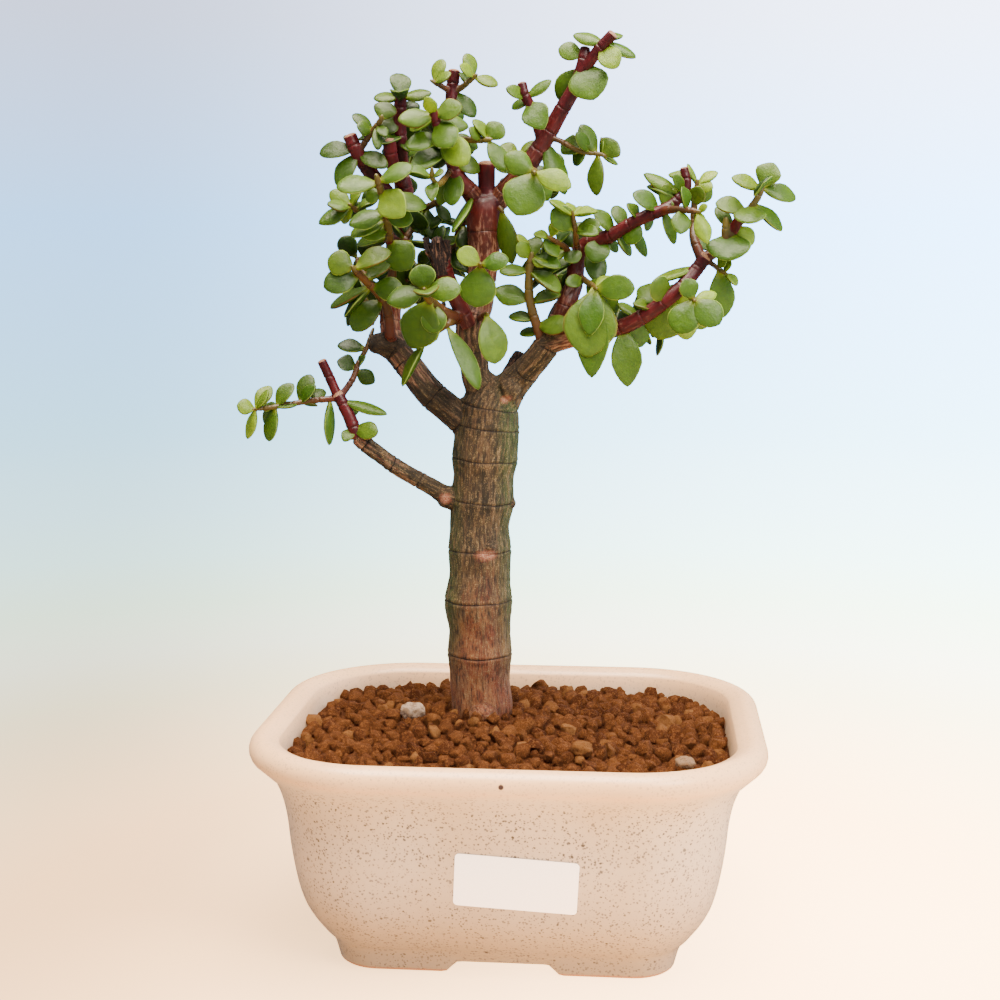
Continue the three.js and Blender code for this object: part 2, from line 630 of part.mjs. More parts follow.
// A thick blade: nearly flat above, with a deep belly below.
function leafSolid({ base, reach, width, face }, grow = 0) {
  const length = reach.length();
  const along = reach.clone().normalize();
  const side = along.clone().cross(face);
  const thick = Math.min(LEAF_THICKNESS, length * LEAF_PLUMPNESS);
  const at = (s, across, lift) => base.clone()
    .addScaledVector(along, s * length + (s === 1 ? 2 * grow : 0))
    .addScaledVector(side, across + Math.sign(across) * grow)
    .addScaledVector(face, lift - LEAF_BEND * length * s * s);
  const left = LEAF_OUTLINE.map(([s, k]) => at(s, (k * width) / 2, grow));
  const right = LEAF_OUTLINE.map(([s, k]) => at(s, (-k * width) / 2, grow)).reverse();
  const rim = [at(0, 0, grow), ...left, at(1, 0, grow), ...right];
  const count = rim.length;
  const triangles = rim.map((_, i) => [(i + 1) % count, i, count]);
  for (let i = 1; i + 1 < count; i += 1) triangles.push([0, i, i + 1]);
  return solidOf([...rim, at(LEAF_BELLY, 0, -thick - grow)], triangles);
}

// A repeatable stream of random numbers from 0 to 1.
function randomFrom(seed) {
  const [multiplier, modulus] = [48271, 2147483647];
  let state = seed;
  return () => {
    state = (state * multiplier) % modulus;
    return state / modulus;
  };
}

const between = THREE.MathUtils.lerp;

// The point and direction at a share of a route's length, at least a leaf's root from its end.
function alongRoute(route, share) {
  const points = route.map(([x, y, z]) => v(x, y, z));
  const lengths = points.slice(1).map((p, i) => p.distanceTo(points[i]));
  const total = lengths.reduce((sum, length) => sum + length, 0);
  let rest = Math.min(share * total, total - LEAF_ROOT);
  let i = 0;
  while (i < lengths.length - 1 && rest > lengths[i]) {
    rest -= lengths[i];
    i += 1;
  }
  const direction = points[i + 1].clone().sub(points[i]).normalize();
  return { point: points[i].clone().addScaledVector(direction, rest), direction };
}

function measuredLeaves({ route, leaves }) {
  return leaves.map(([share, x, y, z, width, roll]) => {
    const reach = v(x, y, z);
    return { base: alongRoute(route, share).point, reach, width, face: faceOf(reach, roll) };
  });
}

// Pairs of opposite leaves, each pair a quarter turn on from the one before.
function pairedLeaves({ route, pairs, leafLength }, random) {
  const leaves = [];
  const start = random() * Math.PI;
  for (let i = 0; i < pairs; i += 1) {
    const { point, direction } = alongRoute(route, (i + 1) / pairs);
    const across = FRONT.clone().cross(direction).normalize();
    across.applyAxisAngle(direction, start + (i * Math.PI) / 2);
    for (const way of [1, -1]) {
      const length = leafLength * between(PAIR.shortest, PAIR.longest, random());
      const lean = between(PAIR.leastLean, PAIR.mostLean, random());
      const reach = across.clone().multiplyScalar(way).addScaledVector(direction, lean);
      reach.normalize();
      const face = direction.clone().addScaledVector(reach, -direction.dot(reach)).normalize();
      reach.multiplyScalar(length);
      leaves.push({ base: point, reach, width: PAIR.ratio * length, face });
    }
  }
  return leaves;
}

// The ways in which a leaf bends clear of another shoot, tried in this order. Each moves the tip
// by shares of the leaf's length.
const BENDS = [
  [0, 0, 0], [0, -0.3, 0], [0, 0.3, 0], [0, -0.6, 0], [0, 0.6, 0], [0, 0, 0.35], [0, 0, -0.35],
  [0.35, 0, 0], [-0.35, 0, 0], [0, -0.6, 0.4], [0, 0.6, 0.4], [0, -0.6, -0.4], [0, 0.6, -0.4],
  [0.6, 0, 0.4], [-0.6, 0, 0.4], [0, -1.2, 0], [0, 1.2, 0],
];

function bent(leaf, [x, y, z]) {
  const length = leaf.reach.length();
  const reach = leaf.reach.clone().addScaledVector(v(x, y, z), length).setLength(length);
  const along = reach.clone().normalize();
  const face = leaf.face.clone().addScaledVector(along, -leaf.face.dot(along)).normalize();
  return { ...leaf, reach, face };
}

// ---------------------------------------------------------------- trunk and shoots

function crosses(a, b) {
  const one = a.boundingBox();
  const two = b.boundingBox();
  const apart = [0, 1, 2].some((k) => one.min[k] > two.max[k] || two.min[k] > one.max[k]);
  return !apart && !a.intersect(b).isEmpty();
}

const trunkSolid = (grow) => fuse([
  tube(TRUNK_ROUTE, TRUNK_SIDES, grow),
  ...Object.values(LIMBS).map((route) => tube(route, LIMB_SIDES, grow)),
]);

// A shoot's route with its radius running evenly from the first value to the second.
function girthRoute({ route, girth: [thick, thin] }) {
  return route.map((p, i) => [...p, between(thick, thin, i / (route.length - 1))]);
}

function stemSolid(shoot, grow) {
  const sides = shoot.girth[0] < THIN_STEM ? TWIG_SIDES : STEM_SIDES;
  return tube(girthRoute(shoot), sides, grow);
}

const trunk = trunkSolid(0);
const trunkWithGap = trunkSolid(GAP);

// Each spray's stems first, then its leaves, bent clear of the trunk, of the other sprays' stems
// and of the leaves that are already there. A leaf that finds no room is left out.
function growSprays() {
  const names = Object.keys(SPRAYS);
  const stems = names.map((name) => SPRAYS[name].map((shoot) => stemSolid(shoot, 0)));
  const random = randomFrom(PAIR_SEED);
  const finished = [];
  return names.map((name, i) => {
    const others = [trunkWithGap, ...stems.filter((_, k) => k !== i).flat(), ...finished];
    const leaves = SPRAYS[name].flatMap((shoot) => {
      if (shoot.leaves) return measuredLeaves(shoot);
      return shoot.pairs ? pairedLeaves(shoot, random) : [];
    });
    const placed = leaves.map((leaf) => {
      const free = BENDS.map((bend) => bent(leaf, bend)).find((pose) => {
        const grown = leafSolid(pose, GAP);
        return !others.some((other) => crosses(grown, other));
      });
      return free && leafSolid(free);
    }).filter(Boolean);
    const solid = mainBody(fuse([...stems[i], ...placed]).subtract(trunkWithGap));
    finished.push(...placed);
    return meshOf(name, solid, LOOKS.leaf);
  });
}

// ---------------------------------------------------------------- pot

// Points round a rectangle with rounded corners, at one height.
function roundedRing(halfWidth, halfDepth, corner, z, steps = CORNER_STEPS) {
  const quarters = [[1, 1], [-1, 1], [-1, -1], [1, -1]];
  return quarters.flatMap(([sx, sy], quarter) => Array.from({ length: steps + 1 }, (_, k) => {
    const angle = ((quarter + k / steps) * Math.PI) / 2;
    const x = sx * (halfWidth - corner) + corner * Math.cos(angle);
    return v(x, sy * (halfDepth - corner) + corner * Math.sin(angle), z);
  }));
}

const lipHalfWidth = POT_WIDTH / 2 - LIP_RADIUS;
const depthLess = (POT_WIDTH - POT_DEPTH) / 2;

function cornerAt(halfWidth) {
  const share = (halfWidth - FOOT_HALF_WIDTH) / (lipHalfWidth - FOOT_HALF_WIDTH);
  return FOOT_CORNER + (LIP_CORNER - FOOT_CORNER) * share;
}

// The pot's plan at a height, where its outside is halfWidth wide and inset moves it inwards.
function potRing(halfWidth, z, inset = 0) {
  const halfDepth = halfWidth - depthLess;
  return roundedRing(halfWidth - inset, halfDepth - inset, cornerAt(halfWidth) - inset, z);
}

const [shoulderHeight] = POT_PROFILE.at(-1);

function profileAt(height) {
  const z = Math.min(height, shoulderHeight);
  const i = POT_PROFILE.findIndex(([upper]) => upper >= z);
  const [[z0, a0], [z1, a1]] = [POT_PROFILE[i - 1], POT_PROFILE[i]];
  return between(a0, a1, (z - z0) / (z1 - z0));
}

// The inside of the pot between two heights, moved inwards by a clearance. It follows every
// second height of the profile, up to the shoulder.
function cavityRings(bottom, top, clearance) {
  const bends = POT_PROFILE.map(([z]) => z).filter((z, i) => i % 2 === 1 && z > bottom && z < top);
  return [bottom, ...bends, top].map((z) => potRing(profileAt(z), z, WALL + clearance));
}

function box(width, depth, height, x, y, z) {
  const corners = (h) => [[-1, -1], [1, -1], [1, 1], [-1, 1]]
    .map(([sx, sy]) => v(x + (sx * width) / 2, y + (sy * depth) / 2, z + h));
  return loft([corners(0), corners(height)]);
}

// A bar that cuts the slanted notch out of two opposite sides of the foot ring.
function notchBar(turned) {
  const ring = (z, width) => {
    const long = POT_WIDTH;
    return [[-1, -1], [1, -1], [1, 1], [-1, 1]].map(([sx, sy]) => (turned
      ? v((sx * long) / 2, (sy * width) / 2, z)
      : v((sx * width) / 2, (sy * long) / 2, z)));
  };
  const slope = (NOTCH.bottom - NOTCH.top) / NOTCH.height;
  return loft([ring(-OVERRUN, NOTCH.bottom + slope * OVERRUN), ring(NOTCH.height, NOTCH.top)]);
}

function potSolid() {
  const outside = POT_PROFILE.map(([z, a]) => potRing(a, z));
  const roll = LIP_TURNS.map((turn) => {
    const out = LIP_RADIUS * Math.cos(degrees(turn));
    return potRing(lipHalfWidth, LIP_HEIGHT + LIP_RADIUS * Math.sin(degrees(turn)), -out);
  });
  const body = loft([...outside, ...roll]);
  const cavity = loft(cavityRings(FLOOR_TOP, LIP_HEIGHT + 2 * LIP_RADIUS, 0));
  const recess = loft([-OVERRUN, RECESS].map((z) => potRing(FOOT_HALF_WIDTH, z, FOOT_RING)));
  const drains = [-DRAIN.x, DRAIN.x].map((x) => tube(
    [[x, 0, 0, DRAIN.radius], [x, 0, FLOOR_TOP + OVERRUN, DRAIN.radius]], TRUNK_SIDES,
  ));
  const cuts = [cavity, recess, ...drains, notchBar(false), notchBar(true)];
  return cuts.reduce((pot, cut) => pot.subtract(cut), body);
}

function drainMeshSolid(x) {
  const { side, thick, holes, hole, pitch } = DRAIN_MESH;
  const z = FLOOR_TOP + GAP;
  const offset = (k) => (k - (holes - 1) / 2) * pitch;
  let plate = box(side, side, thick, x, 0, z);
  for (let i = 0; i < holes; i += 1) {
    for (let j = 0; j < holes; j += 1) {
      const through = thick + 2 * OVERRUN;
      plate = plate.subtract(box(hole, hole, through, x + offset(i), offset(j), z - OVERRUN));
    }
  }
  return plate;
}

// A blank sticker that leans with the front wall, a little crooked.
function labelMesh() {
  const { width, height, corner, steps, thick } = LABEL;
  const slope = (profileAt(LABEL.z + height / 2) - profileAt(LABEL.z - height / 2)) / height;
  const ring = (out) => roundedRing(width / 2, height / 2, corner, out, steps);
  const mesh = meshOf('label', loft([ring(0), ring(thick)]), LOOKS.label);
  const front = profileAt(LABEL.z) - depthLess;
  const normal = v(0, -1, -slope).normalize();
  mesh.position.set(LABEL.x, -front, LABEL.z).addScaledVector(normal, GAP);
  mesh.rotation.set(Math.PI / 2 + Math.atan(slope), 0, degrees(-LABEL.turn), 'XYZ');
  return mesh;
}

// ---------------------------------------------------------------- soil

const trunkFoot = v(TRUNK_ROUTE[0][0], TRUNK_ROUTE[0][1], 0);

function soilHeight(x, y) {
  const away = Math.hypot(x - trunkFoot.x, y - trunkFoot.y) / SOIL_SPREAD;
  return SOIL_EDGE + SOIL_MOUND * Math.exp(-away * away);
}

// A sheet of six-sided granules: each has a raised middle, and low corners that it shares.
function grainRelief() {
  const random = randomFrom(GRAIN_SEED);
  const row = GRAIN_PITCH * Math.sqrt(3) / 2;
  const columns = Math.ceil(POT_WIDTH / GRAIN_PITCH) + 1;
  const rows = Math.ceil(POT_DEPTH / row) + 1;
  const points = [];
  const indexOf = (i, j) => j * columns + i;
  for (let j = 0; j < rows; j += 1) {
    const odd = j % 2;
    for (let i = 0; i < columns; i += 1) {
      const x = (i + odd / 2 - columns / 2) * GRAIN_PITCH + (random() - 0.5) * GRAIN_SHIFT;
      const y = (j - rows / 2) * row + (random() - 0.5) * GRAIN_SHIFT;
      const middle = i % 3 !== 0;
      const rise = middle ? GRAIN_RISE * random() : -GRAIN_RISE;
      points.push(v(x, y, soilHeight(x, y) + rise));
    }
  }
  const below = points.map((p) => v(p.x, p.y, SOIL_EDGE - GRAIN_DEPTH - OVERRUN));
  const triangles = [];
  const lower = points.length;
  const both = (a, b, c) => triangles.push([a, b, c], [lower + a, lower + c, lower + b]);
  for (let j = 0; j + 1 < rows; j += 1) {
    for (let i = 0; i + 1 < columns; i += 1) {
      const [a, b] = [indexOf(i, j), indexOf(i + 1, j)];
      const [c, d] = [indexOf(i, j + 1), indexOf(i + 1, j + 1)];
      if (j % 2 === 0) {
        both(a, b, c);
        both(b, d, c);
      } else {
        both(a, b, d);
        both(a, d, c);
      }
    }
  }
  const wall = (a, b) => triangles.push([a, lower + a, lower + b], [a, lower + b, b]);
  for (let i = 0; i + 1 < columns; i += 1) {
    wall(indexOf(i, 0), indexOf(i + 1, 0));
    wall(indexOf(i + 1, rows - 1), indexOf(i, rows - 1));
  }
  for (let j = 0; j + 1 < rows; j += 1) {
    wall(indexOf(0, j + 1), indexOf(0, j));
    wall(indexOf(columns - 1, j), indexOf(columns - 1, j + 1));
  }
  return solidOf([...points, ...below], triangles);
}

function pebbleSolid(grow) {
  const shape = new THREE.IcosahedronGeometry(PUMICE.radius + grow, 1);
  const position = shape.getAttribute('position');
  const [wide, deep, high] = PUMICE.stretch;
  const seen = new Map();
  const points = [];
  const corners = Array.from({ length: position.count }, (_, i) => {
    const p = v().fromBufferAttribute(position, i);
    const key = p.toArray().map((value) => value.toFixed(3)).join();
    if (!seen.has(key)) {
      seen.set(key, points.length);
      points.push(v(p.x * wide + PUMICE.x, p.y * deep + PUMICE.y, p.z * high + PUMICE.z));
    }
    return seen.get(key);
  });
  const triangles = [];
  for (let i = 0; i < corners.length; i += 3) triangles.push(corners.slice(i, i + 3));
  return solidOf(points, triangles);
}

function soilSolid() {
  const low = FLOOR_TOP + GAP;
  const fill = loft(cavityRings(low, LIP_HEIGHT + SOIL_MOUND, GAP));
  const bedDepth = SOIL_EDGE - GRAIN_DEPTH - low;
  const bed = box(POT_WIDTH, POT_DEPTH, bedDepth, 0, 0, low).intersect(fill);
  const side = DRAIN_MESH.side + 2 * GAP;
  const meshes = [-DRAIN.x, DRAIN.x]
    .map((x) => box(side, side, DRAIN_MESH.thick + GAP + OVERRUN, x, 0, low - OVERRUN));
  const filled = bed.add(grainRelief().intersect(fill));
  return [trunkWithGap, pebbleSolid(GAP), ...meshes]
    .reduce((soil, cut) => soil.subtract(cut), filled);
}

// ---------------------------------------------------------------- the whole object

const bonsai = new THREE.Group();
bonsai.name = 'dwarf_jade_bonsai';
bonsai.add(meshOf('pot', potSolid(), LOOKS.glaze));
bonsai.add(meshOf('drain_mesh_left', drainMeshSolid(-DRAIN.x), LOOKS.mesh));
bonsai.add(meshOf('drain_mesh_right', drainMeshSolid(DRAIN.x), LOOKS.mesh));
bonsai.add(labelMesh());
bonsai.add(meshOf('soil', mainBody(soilSolid()), LOOKS.soil));
bonsai.add(meshOf('pumice_grain', pebbleSolid(0), LOOKS.pumice));
bonsai.add(meshOf('trunk', trunk, LOOKS.bark));
bonsai.add(...growSprays());

export default bonsai;
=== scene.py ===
# %% [markdown]
# # A dwarf jade bonsai
#
# A dwarf jade (Portulacaria afra) is a small succulent tree: a thick ringed trunk, a few pruned
# limbs, maroon shoots and plump round leaves in pairs. It stands in baked clay granules in a
# cream glazed pot. The solid model gives the place and size of every part, and this script gives
# each part its finished form and its finish.

# %% The frame that everything fits
import math

import bmesh
import bpy
import numpy as np
from mathutils import Matrix, Vector, kdtree, noise


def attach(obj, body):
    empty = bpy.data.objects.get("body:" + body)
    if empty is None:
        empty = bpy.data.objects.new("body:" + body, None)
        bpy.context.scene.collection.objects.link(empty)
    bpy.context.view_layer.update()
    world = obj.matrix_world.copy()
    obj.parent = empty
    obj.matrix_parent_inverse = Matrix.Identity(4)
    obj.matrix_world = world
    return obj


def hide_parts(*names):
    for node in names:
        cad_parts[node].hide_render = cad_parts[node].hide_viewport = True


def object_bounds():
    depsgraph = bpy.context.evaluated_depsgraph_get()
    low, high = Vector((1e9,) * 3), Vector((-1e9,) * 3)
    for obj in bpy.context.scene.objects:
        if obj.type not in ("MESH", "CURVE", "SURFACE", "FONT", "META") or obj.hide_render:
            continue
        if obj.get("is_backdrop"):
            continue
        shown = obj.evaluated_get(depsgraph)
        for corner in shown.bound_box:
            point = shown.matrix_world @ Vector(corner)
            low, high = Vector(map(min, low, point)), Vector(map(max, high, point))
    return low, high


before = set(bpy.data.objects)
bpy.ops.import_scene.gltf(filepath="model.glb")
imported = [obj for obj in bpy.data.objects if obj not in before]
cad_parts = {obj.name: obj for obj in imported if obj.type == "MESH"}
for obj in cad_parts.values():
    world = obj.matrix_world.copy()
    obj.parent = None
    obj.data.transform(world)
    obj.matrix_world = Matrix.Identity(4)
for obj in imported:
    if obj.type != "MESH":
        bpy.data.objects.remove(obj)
cad_box = [list(corner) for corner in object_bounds()]
ROOT = "root"
MM = 0.001
print("solid model:", len(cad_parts), "nodes, box in metres", cad_box)

# %% [markdown]
# ## Small helpers
#
# Blender works in metres and in linear light. People measure a pot in millimetres and pick a
# colour as it looks on a screen, so two helpers turn the one into the other. The rest make
# plain meshes out of points, rings and modifiers, and hand finished pieces over.


# %% Helpers for places, colours and meshes
def mm(x, y, z):
    return Vector((x, y, z)) * MM


def colour(red, green, blue):
    """A screen colour, 0 to 255, as the linear light that a shader wants."""
    parts = [value / 255 for value in (red, green, blue)]
    linear = [p / 12.92 if p < 0.04045 else ((p + 0.055) / 1.055) ** 2.4 for p in parts]
    return (*linear, 1.0)


def share_of(value, start, end):
    """How far the value has come from start to end, as a share that stays within 0 and 1."""
    return np.clip((value - start) / (end - start), 0, 1)


def link(obj):
    bpy.context.scene.collection.objects.link(obj)
    return obj


def mesh_object(name, points, faces, edges=()):
    mesh = bpy.data.meshes.new(name)
    mesh.from_pydata([tuple(p) for p in points], edges, faces)
    mesh.update()
    return link(bpy.data.objects.new(name, mesh))


def collection_of(name, objects):
    made = bpy.data.collections.new(name)
    for obj in objects:
        made.objects.link(obj)
    return made


def set_values(mesh, name, values, kind="FLOAT", domain="POINT"):
    """Gives each point of the mesh its value of a named attribute."""
    layer = mesh.attributes.get(name) or mesh.attributes.new(name, kind, domain)
    key = "vector" if kind == "FLOAT_VECTOR" else "value"
    layer.data.foreach_set(key, np.asarray(values, np.float32).ravel())


def bands(rows, sides, turned_over=False):
    """The quads between rows of equally many points, each row a closed ring."""
    quads = []
    for start in range(0, (rows - 1) * sides, sides):
        for i in range(sides):
            a = start + i
            b = start + (i + 1) % sides
            here, there = (b, a), (a + sides, b + sides)
            quads.append(here + there if turned_over else here[::-1] + there[::-1])
    return quads


def ball_mesh(name, subdivisions, radius, moved):
    """A ball, each of whose points is moved by a rule."""
    ball = bmesh.new()
    bmesh.ops.create_icosphere(ball, subdivisions=subdivisions, radius=radius)
    for vert in ball.verts:
        vert.co = moved(vert.co)
    mesh = bpy.data.meshes.new(name)
    ball.to_mesh(mesh)
    ball.free()
    mesh.shade_smooth()
    return mesh


def covered(obj, material):
    """The object with this material and no other."""
    obj.data.materials.clear()
    obj.data.materials.append(material)
    return obj


def applied(obj):
    """The object with its modifiers turned into plain mesh."""
    depsgraph = bpy.context.evaluated_depsgraph_get()
    mesh = bpy.data.meshes.new_from_object(
        obj.evaluated_get(depsgraph), preserve_all_data_layers=True, depsgraph=depsgraph
    )
    # Joining parts can leave an empty material slot behind.
    for index in reversed(range(len(mesh.materials))):
        if mesh.materials[index] is None:
            mesh.materials.pop(index=index)
    obj.modifiers.clear()
    old = obj.data
    obj.data = mesh
    if not old.users:
        bpy.data.meshes.remove(old)
    return obj


def smooth(obj, sharp_degrees=180):
    obj.data.shade_smooth()
    if sharp_degrees < 180:
        obj.data.set_sharp_from_angle(angle=math.radians(sharp_degrees))
    return obj


def place(obj, slot, *nodes):
    """Hands a finished piece over: it rides on the one body and stands for its nodes."""
    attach(obj, ROOT)
    if nodes:
        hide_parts(*nodes)
    triangles = sum(len(p.vertices) - 2 for p in obj.data.polygons)
    print(f"{obj.name}: {triangles} triangles, stands for {', '.join(nodes) or 'no node'}")
    return obj


# %% [markdown]
# Materials and Geometry Nodes are both graphs. One helper adds a node, sets its properties, and
# either links a socket or gives it a value, so that a graph reads as a short list.


# %% Helpers for node graphs
def feed(tree, socket, value):
    """Links the socket where the value is another socket, and sets it where it is plain."""
    if isinstance(value, bpy.types.NodeSocket):
        tree.links.new(value, socket)
    else:
        socket.default_value = value


def add(tree, kind, inputs=None, **settings):
    made = tree.nodes.new(kind)
    for key, value in settings.items():
        setattr(made, key, value)
    for key, value in (inputs or {}).items():
        feed(tree, made.inputs[key], value)
    return made


def in_use(sockets):
    """The sockets in use, on a node that keeps sockets for every kind of value."""
    return [socket for socket in sockets if socket.enabled]


def math_node(tree, operation, a, b=0.0, clamp=False):
    inputs = {0: a, 1: b}
    return add(tree, "ShaderNodeMath", inputs, operation=operation, use_clamp=clamp).outputs[0]


def plus(tree, a, b):
    return math_node(tree, "ADD", a, b)


def times(tree, a, b):
    return math_node(tree, "MULTIPLY", a, b)


def vector_math(tree, operation, inputs):
    return add(tree, "ShaderNodeVectorMath", inputs, operation=operation).outputs


def ramp(tree, value, low, high, to_low=0.0, to_high=1.0):
    """The value, spread from low..high over to_low..to_high and held there beyond."""
    inputs = {"Value": value, "From Min": low, "From Max": high, "To Min": to_low, "To Max": to_high}
    return add(tree, "ShaderNodeMapRange", inputs, interpolation_type="SMOOTHSTEP").outputs[0]


def mix(tree, factor, a, b):
    """Colour a where the factor is 0, and colour b where it is 1."""
    made = add(tree, "ShaderNodeMix", data_type="RGBA")
    sockets = {socket.identifier: socket for socket in made.inputs}
    for key, value in (("Factor_Float", factor), ("A_Color", a), ("B_Color", b)):
        feed(tree, sockets[key], value)
    return next(socket for socket in made.outputs if socket.type == "RGBA")


def noise_node(tree, vector, scale, detail=2.0, roughness=0.5):
    inputs = {"Vector": vector, "Scale": scale, "Detail": detail, "Roughness": roughness}
    return add(tree, "ShaderNodeTexNoise", inputs).outputs["Fac"]


def attribute(tree, name, output="Fac"):
    return add(tree, "ShaderNodeAttribute", attribute_name=name).outputs[output]


def in_metres(tree):
    """Object coordinates."""
    return add(tree, "ShaderNodeTexCoord").outputs["Object"]


def in_millimetres(tree):
    return vector_math(tree, "SCALE", {0: in_metres(tree), "Scale": 1 / MM})[0]


def height_of(tree, spot):
    return add(tree, "ShaderNodeSeparateXYZ", {0: spot}).outputs["Z"]


def stretched(tree, vector, x, y, z):
    return vector_math(tree, "MULTIPLY", {0: vector, 1: (x, y, z)})[0]


def new_material(name, **fixed):
    """A material and its graph. The fixed values go straight on the shader's own sockets."""
    material = bpy.data.materials.new(name)
    material.use_nodes = True
    tree = material.node_tree
    shader = tree.nodes["Principled BSDF"]
    for key, value in fixed.items():
        shader.inputs[key.replace("_", " ")].default_value = value
    return material, tree, shader


def bump(tree, height, distance_mm, strength=1.0, normal=None):
    inputs = {"Height": height, "Distance": distance_mm * MM, "Strength": strength}
    if normal is not None:
        inputs["Normal"] = normal
    return add(tree, "ShaderNodeBump", inputs).outputs[0]


def wired(material, tree, shader, tone, relief=None, shine=None):
    """The material with its colour, its relief and its roughness linked to the shader."""
    for name, socket in (("Base Color", tone), ("Normal", relief), ("Roughness", shine)):
        if socket is not None:
            tree.links.new(socket, shader.inputs[name])
    return material


# %% [markdown]
# ## Camera, floor and light
#
# The camera comes first, because every later choice is judged through it. It stands six tenths
# of a metre in front of the pot, a little to the right, and looks slightly down. The floor is a
# wide pale dish that curls up into a wall, so that no horizon cuts through the leaves.

# %% The camera
CAMERA_PLACE = mm(48.7, -598.0, 249.8)
CAMERA_AIM = mm(-5.2, 0.0, 167.6)
CAMERA_LENS = 57.6  # millimetres, as the sensor's width is
SENSOR_WIDTH = 36.0
NEAREST_SEEN = 0.01

camera_data = bpy.data.cameras.new("camera")
camera_data.lens = CAMERA_LENS
camera_data.sensor_width = SENSOR_WIDTH
camera_data.clip_start = NEAREST_SEEN
camera = link(bpy.data.objects.new("camera", camera_data))
camera.location = CAMERA_PLACE
camera.rotation_euler = (CAMERA_AIM - CAMERA_PLACE).to_track_quat("-Z", "Y").to_euler()
bpy.context.scene.camera = camera
print("camera at", tuple(round(c, 4) for c in camera.location))

# %% The floor and its wall
FLOOR_RADIUS = 1.9
WALL_BEND = 1.3
WALL_TOP = 3.6
DISH_SIDES = 96
BEND_STEP = 6  # degrees
GLOW = (3.3, 13.5)  # on the left and on the right
GLOW_FAN = 0.6  # the glow fans out from a point this far from the middle
GLOW_SLOPE = 0.34  # it grows between lines that run this far aside for each metre on
GLOW_FRONT = (-0.9, -0.3, 0.3, 1.0)  # in front of the pot it sinks to 0.3
LIT_FLOOR = (0.28, 0.62)  # the lamps' light on the floor fades out between these distances
LAMP_SHARE = 0.55  # how much of the lamps' light the cream floor throws back
FLOOR_TONES = [  # how far out, in metres, and the colour there
    (0.2, (253, 203, 146)), (0.4, (222, 210, 170)), (0.52, (213, 215, 191)),
    (0.68, (195, 218, 193)), (0.9, (180, 218, 214)), (1.2, (170, 211, 222)),
    (2.1, (149, 201, 228)), (2.84, (136, 189, 242)), (3.22, (166, 177, 204)),
]


def dish():
    """A flat disc whose edge bends up into a wall."""
    bend = [math.radians(a) for a in range(0, 91, BEND_STEP)]
    curve = [(FLOOR_RADIUS + WALL_BEND * math.sin(a), WALL_BEND * (1 - math.cos(a))) for a in bend]
    rows = [(FLOOR_RADIUS * 0.5, 0.0), *curve, (FLOOR_RADIUS + WALL_BEND, WALL_TOP)]
    turns = [2 * math.pi * i / DISH_SIDES for i in range(DISH_SIDES)]
    points = [(r * math.cos(t), r * math.sin(t), z) for r, z in rows for t in turns]
    faces = [tuple(range(DISH_SIDES)), *bands(len(rows), DISH_SIDES, turned_over=True)]
    return smooth(mesh_object("floor", points, faces))


def floor_material():
    """Cream and matt round the pot, and further out a pale blue wall of even soft light."""
    material, tree, shader = new_material("pale floor", Roughness=0.8, Specular_IOR_Level=0.0)
    here = in_metres(tree)
    parts = add(tree, "ShaderNodeSeparateXYZ", {0: here}).outputs
    far = vector_math(tree, "LENGTH", {0: here})["Value"]
    reach = FLOOR_TONES[-1][0]
    fade = add(tree, "ShaderNodeValToRGB", {"Fac": math_node(tree, "DIVIDE", far, reach)})
    stops = fade.color_ramp.elements
    while len(stops) < len(FLOOR_TONES):
        stops.new(1.0)
    for stop, (distance, tone) in zip(stops, FLOOR_TONES):
        stop.position = distance / reach
        stop.color = colour(*tone)
    tone = fade.outputs["Color"]
    # Near the pot the lamps light the floor. The wall only glows, and more so on the right.
    lit = ramp(tree, far, *LIT_FLOOR, LAMP_SHARE, 0.0)
    lit_tone = vector_math(tree, "SCALE", {0: tone, "Scale": lit})[0]
    depth = plus(tree, math_node(tree, "ABSOLUTE", parts["Y"]), GLOW_FAN)
    aside = math_node(tree, "DIVIDE", parts["X"], depth)
    across = ramp(tree, aside, -GLOW_SLOPE, GLOW_SLOPE, *GLOW)
    glow = times(tree, across, ramp(tree, parts["Y"], *GLOW_FRONT))
    lamps_give = ramp(tree, far, *LIT_FLOOR, GLOW[0], 0.0)
    glow = math_node(tree, "MAXIMUM", math_node(tree, "SUBTRACT", glow, lamps_give), 0.0)
    tree.links.new(tone, shader.inputs["Emission Color"])
    tree.links.new(glow, shader.inputs["Emission Strength"])
    return wired(material, tree, shader, lit_tone)


floor = covered(dish(), floor_material())
floor.visible_glossy = False  # the lit wall would lay a haze over every glossy edge
floor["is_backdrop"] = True
print("floor:", len(floor.data.polygons), "faces")


# %% The lamps
LAMPS_AIM = mm(0, 0, 160)
SKY_TONE = (238, 242, 246)
SKY_STRENGTH = 0.26


def soft_box(name, place_mm, size_mm, watts, tone):
    lamp = bpy.data.lights.new(name, "AREA")
    lamp.shape = "DISK"
    lamp.size = size_mm * MM
    lamp.energy = watts
    lamp.color = colour(*tone)[:3]
    obj = link(bpy.data.objects.new(name, lamp))
    obj.location = mm(*place_mm)
    obj.rotation_euler = (LAMPS_AIM - obj.location).to_track_quat("-Z", "Y").to_euler()
    return obj


soft_box("key", (640, -720, 880), 520, 22, (255, 246, 236))
soft_box("top", (-40, -190, 1150), 1000, 80, (255, 242, 226))
soft_box("fill", (-850, -650, 520), 900, 0.4, (244, 249, 255))

world = bpy.data.worlds.new("studio")
world.use_nodes = True
sky = world.node_tree.nodes["Background"]
sky.inputs["Color"].default_value = colour(*SKY_TONE)
sky.inputs["Strength"].default_value = SKY_STRENGTH
bpy.context.scene.world = world
print("lamps:", len(bpy.data.lights))

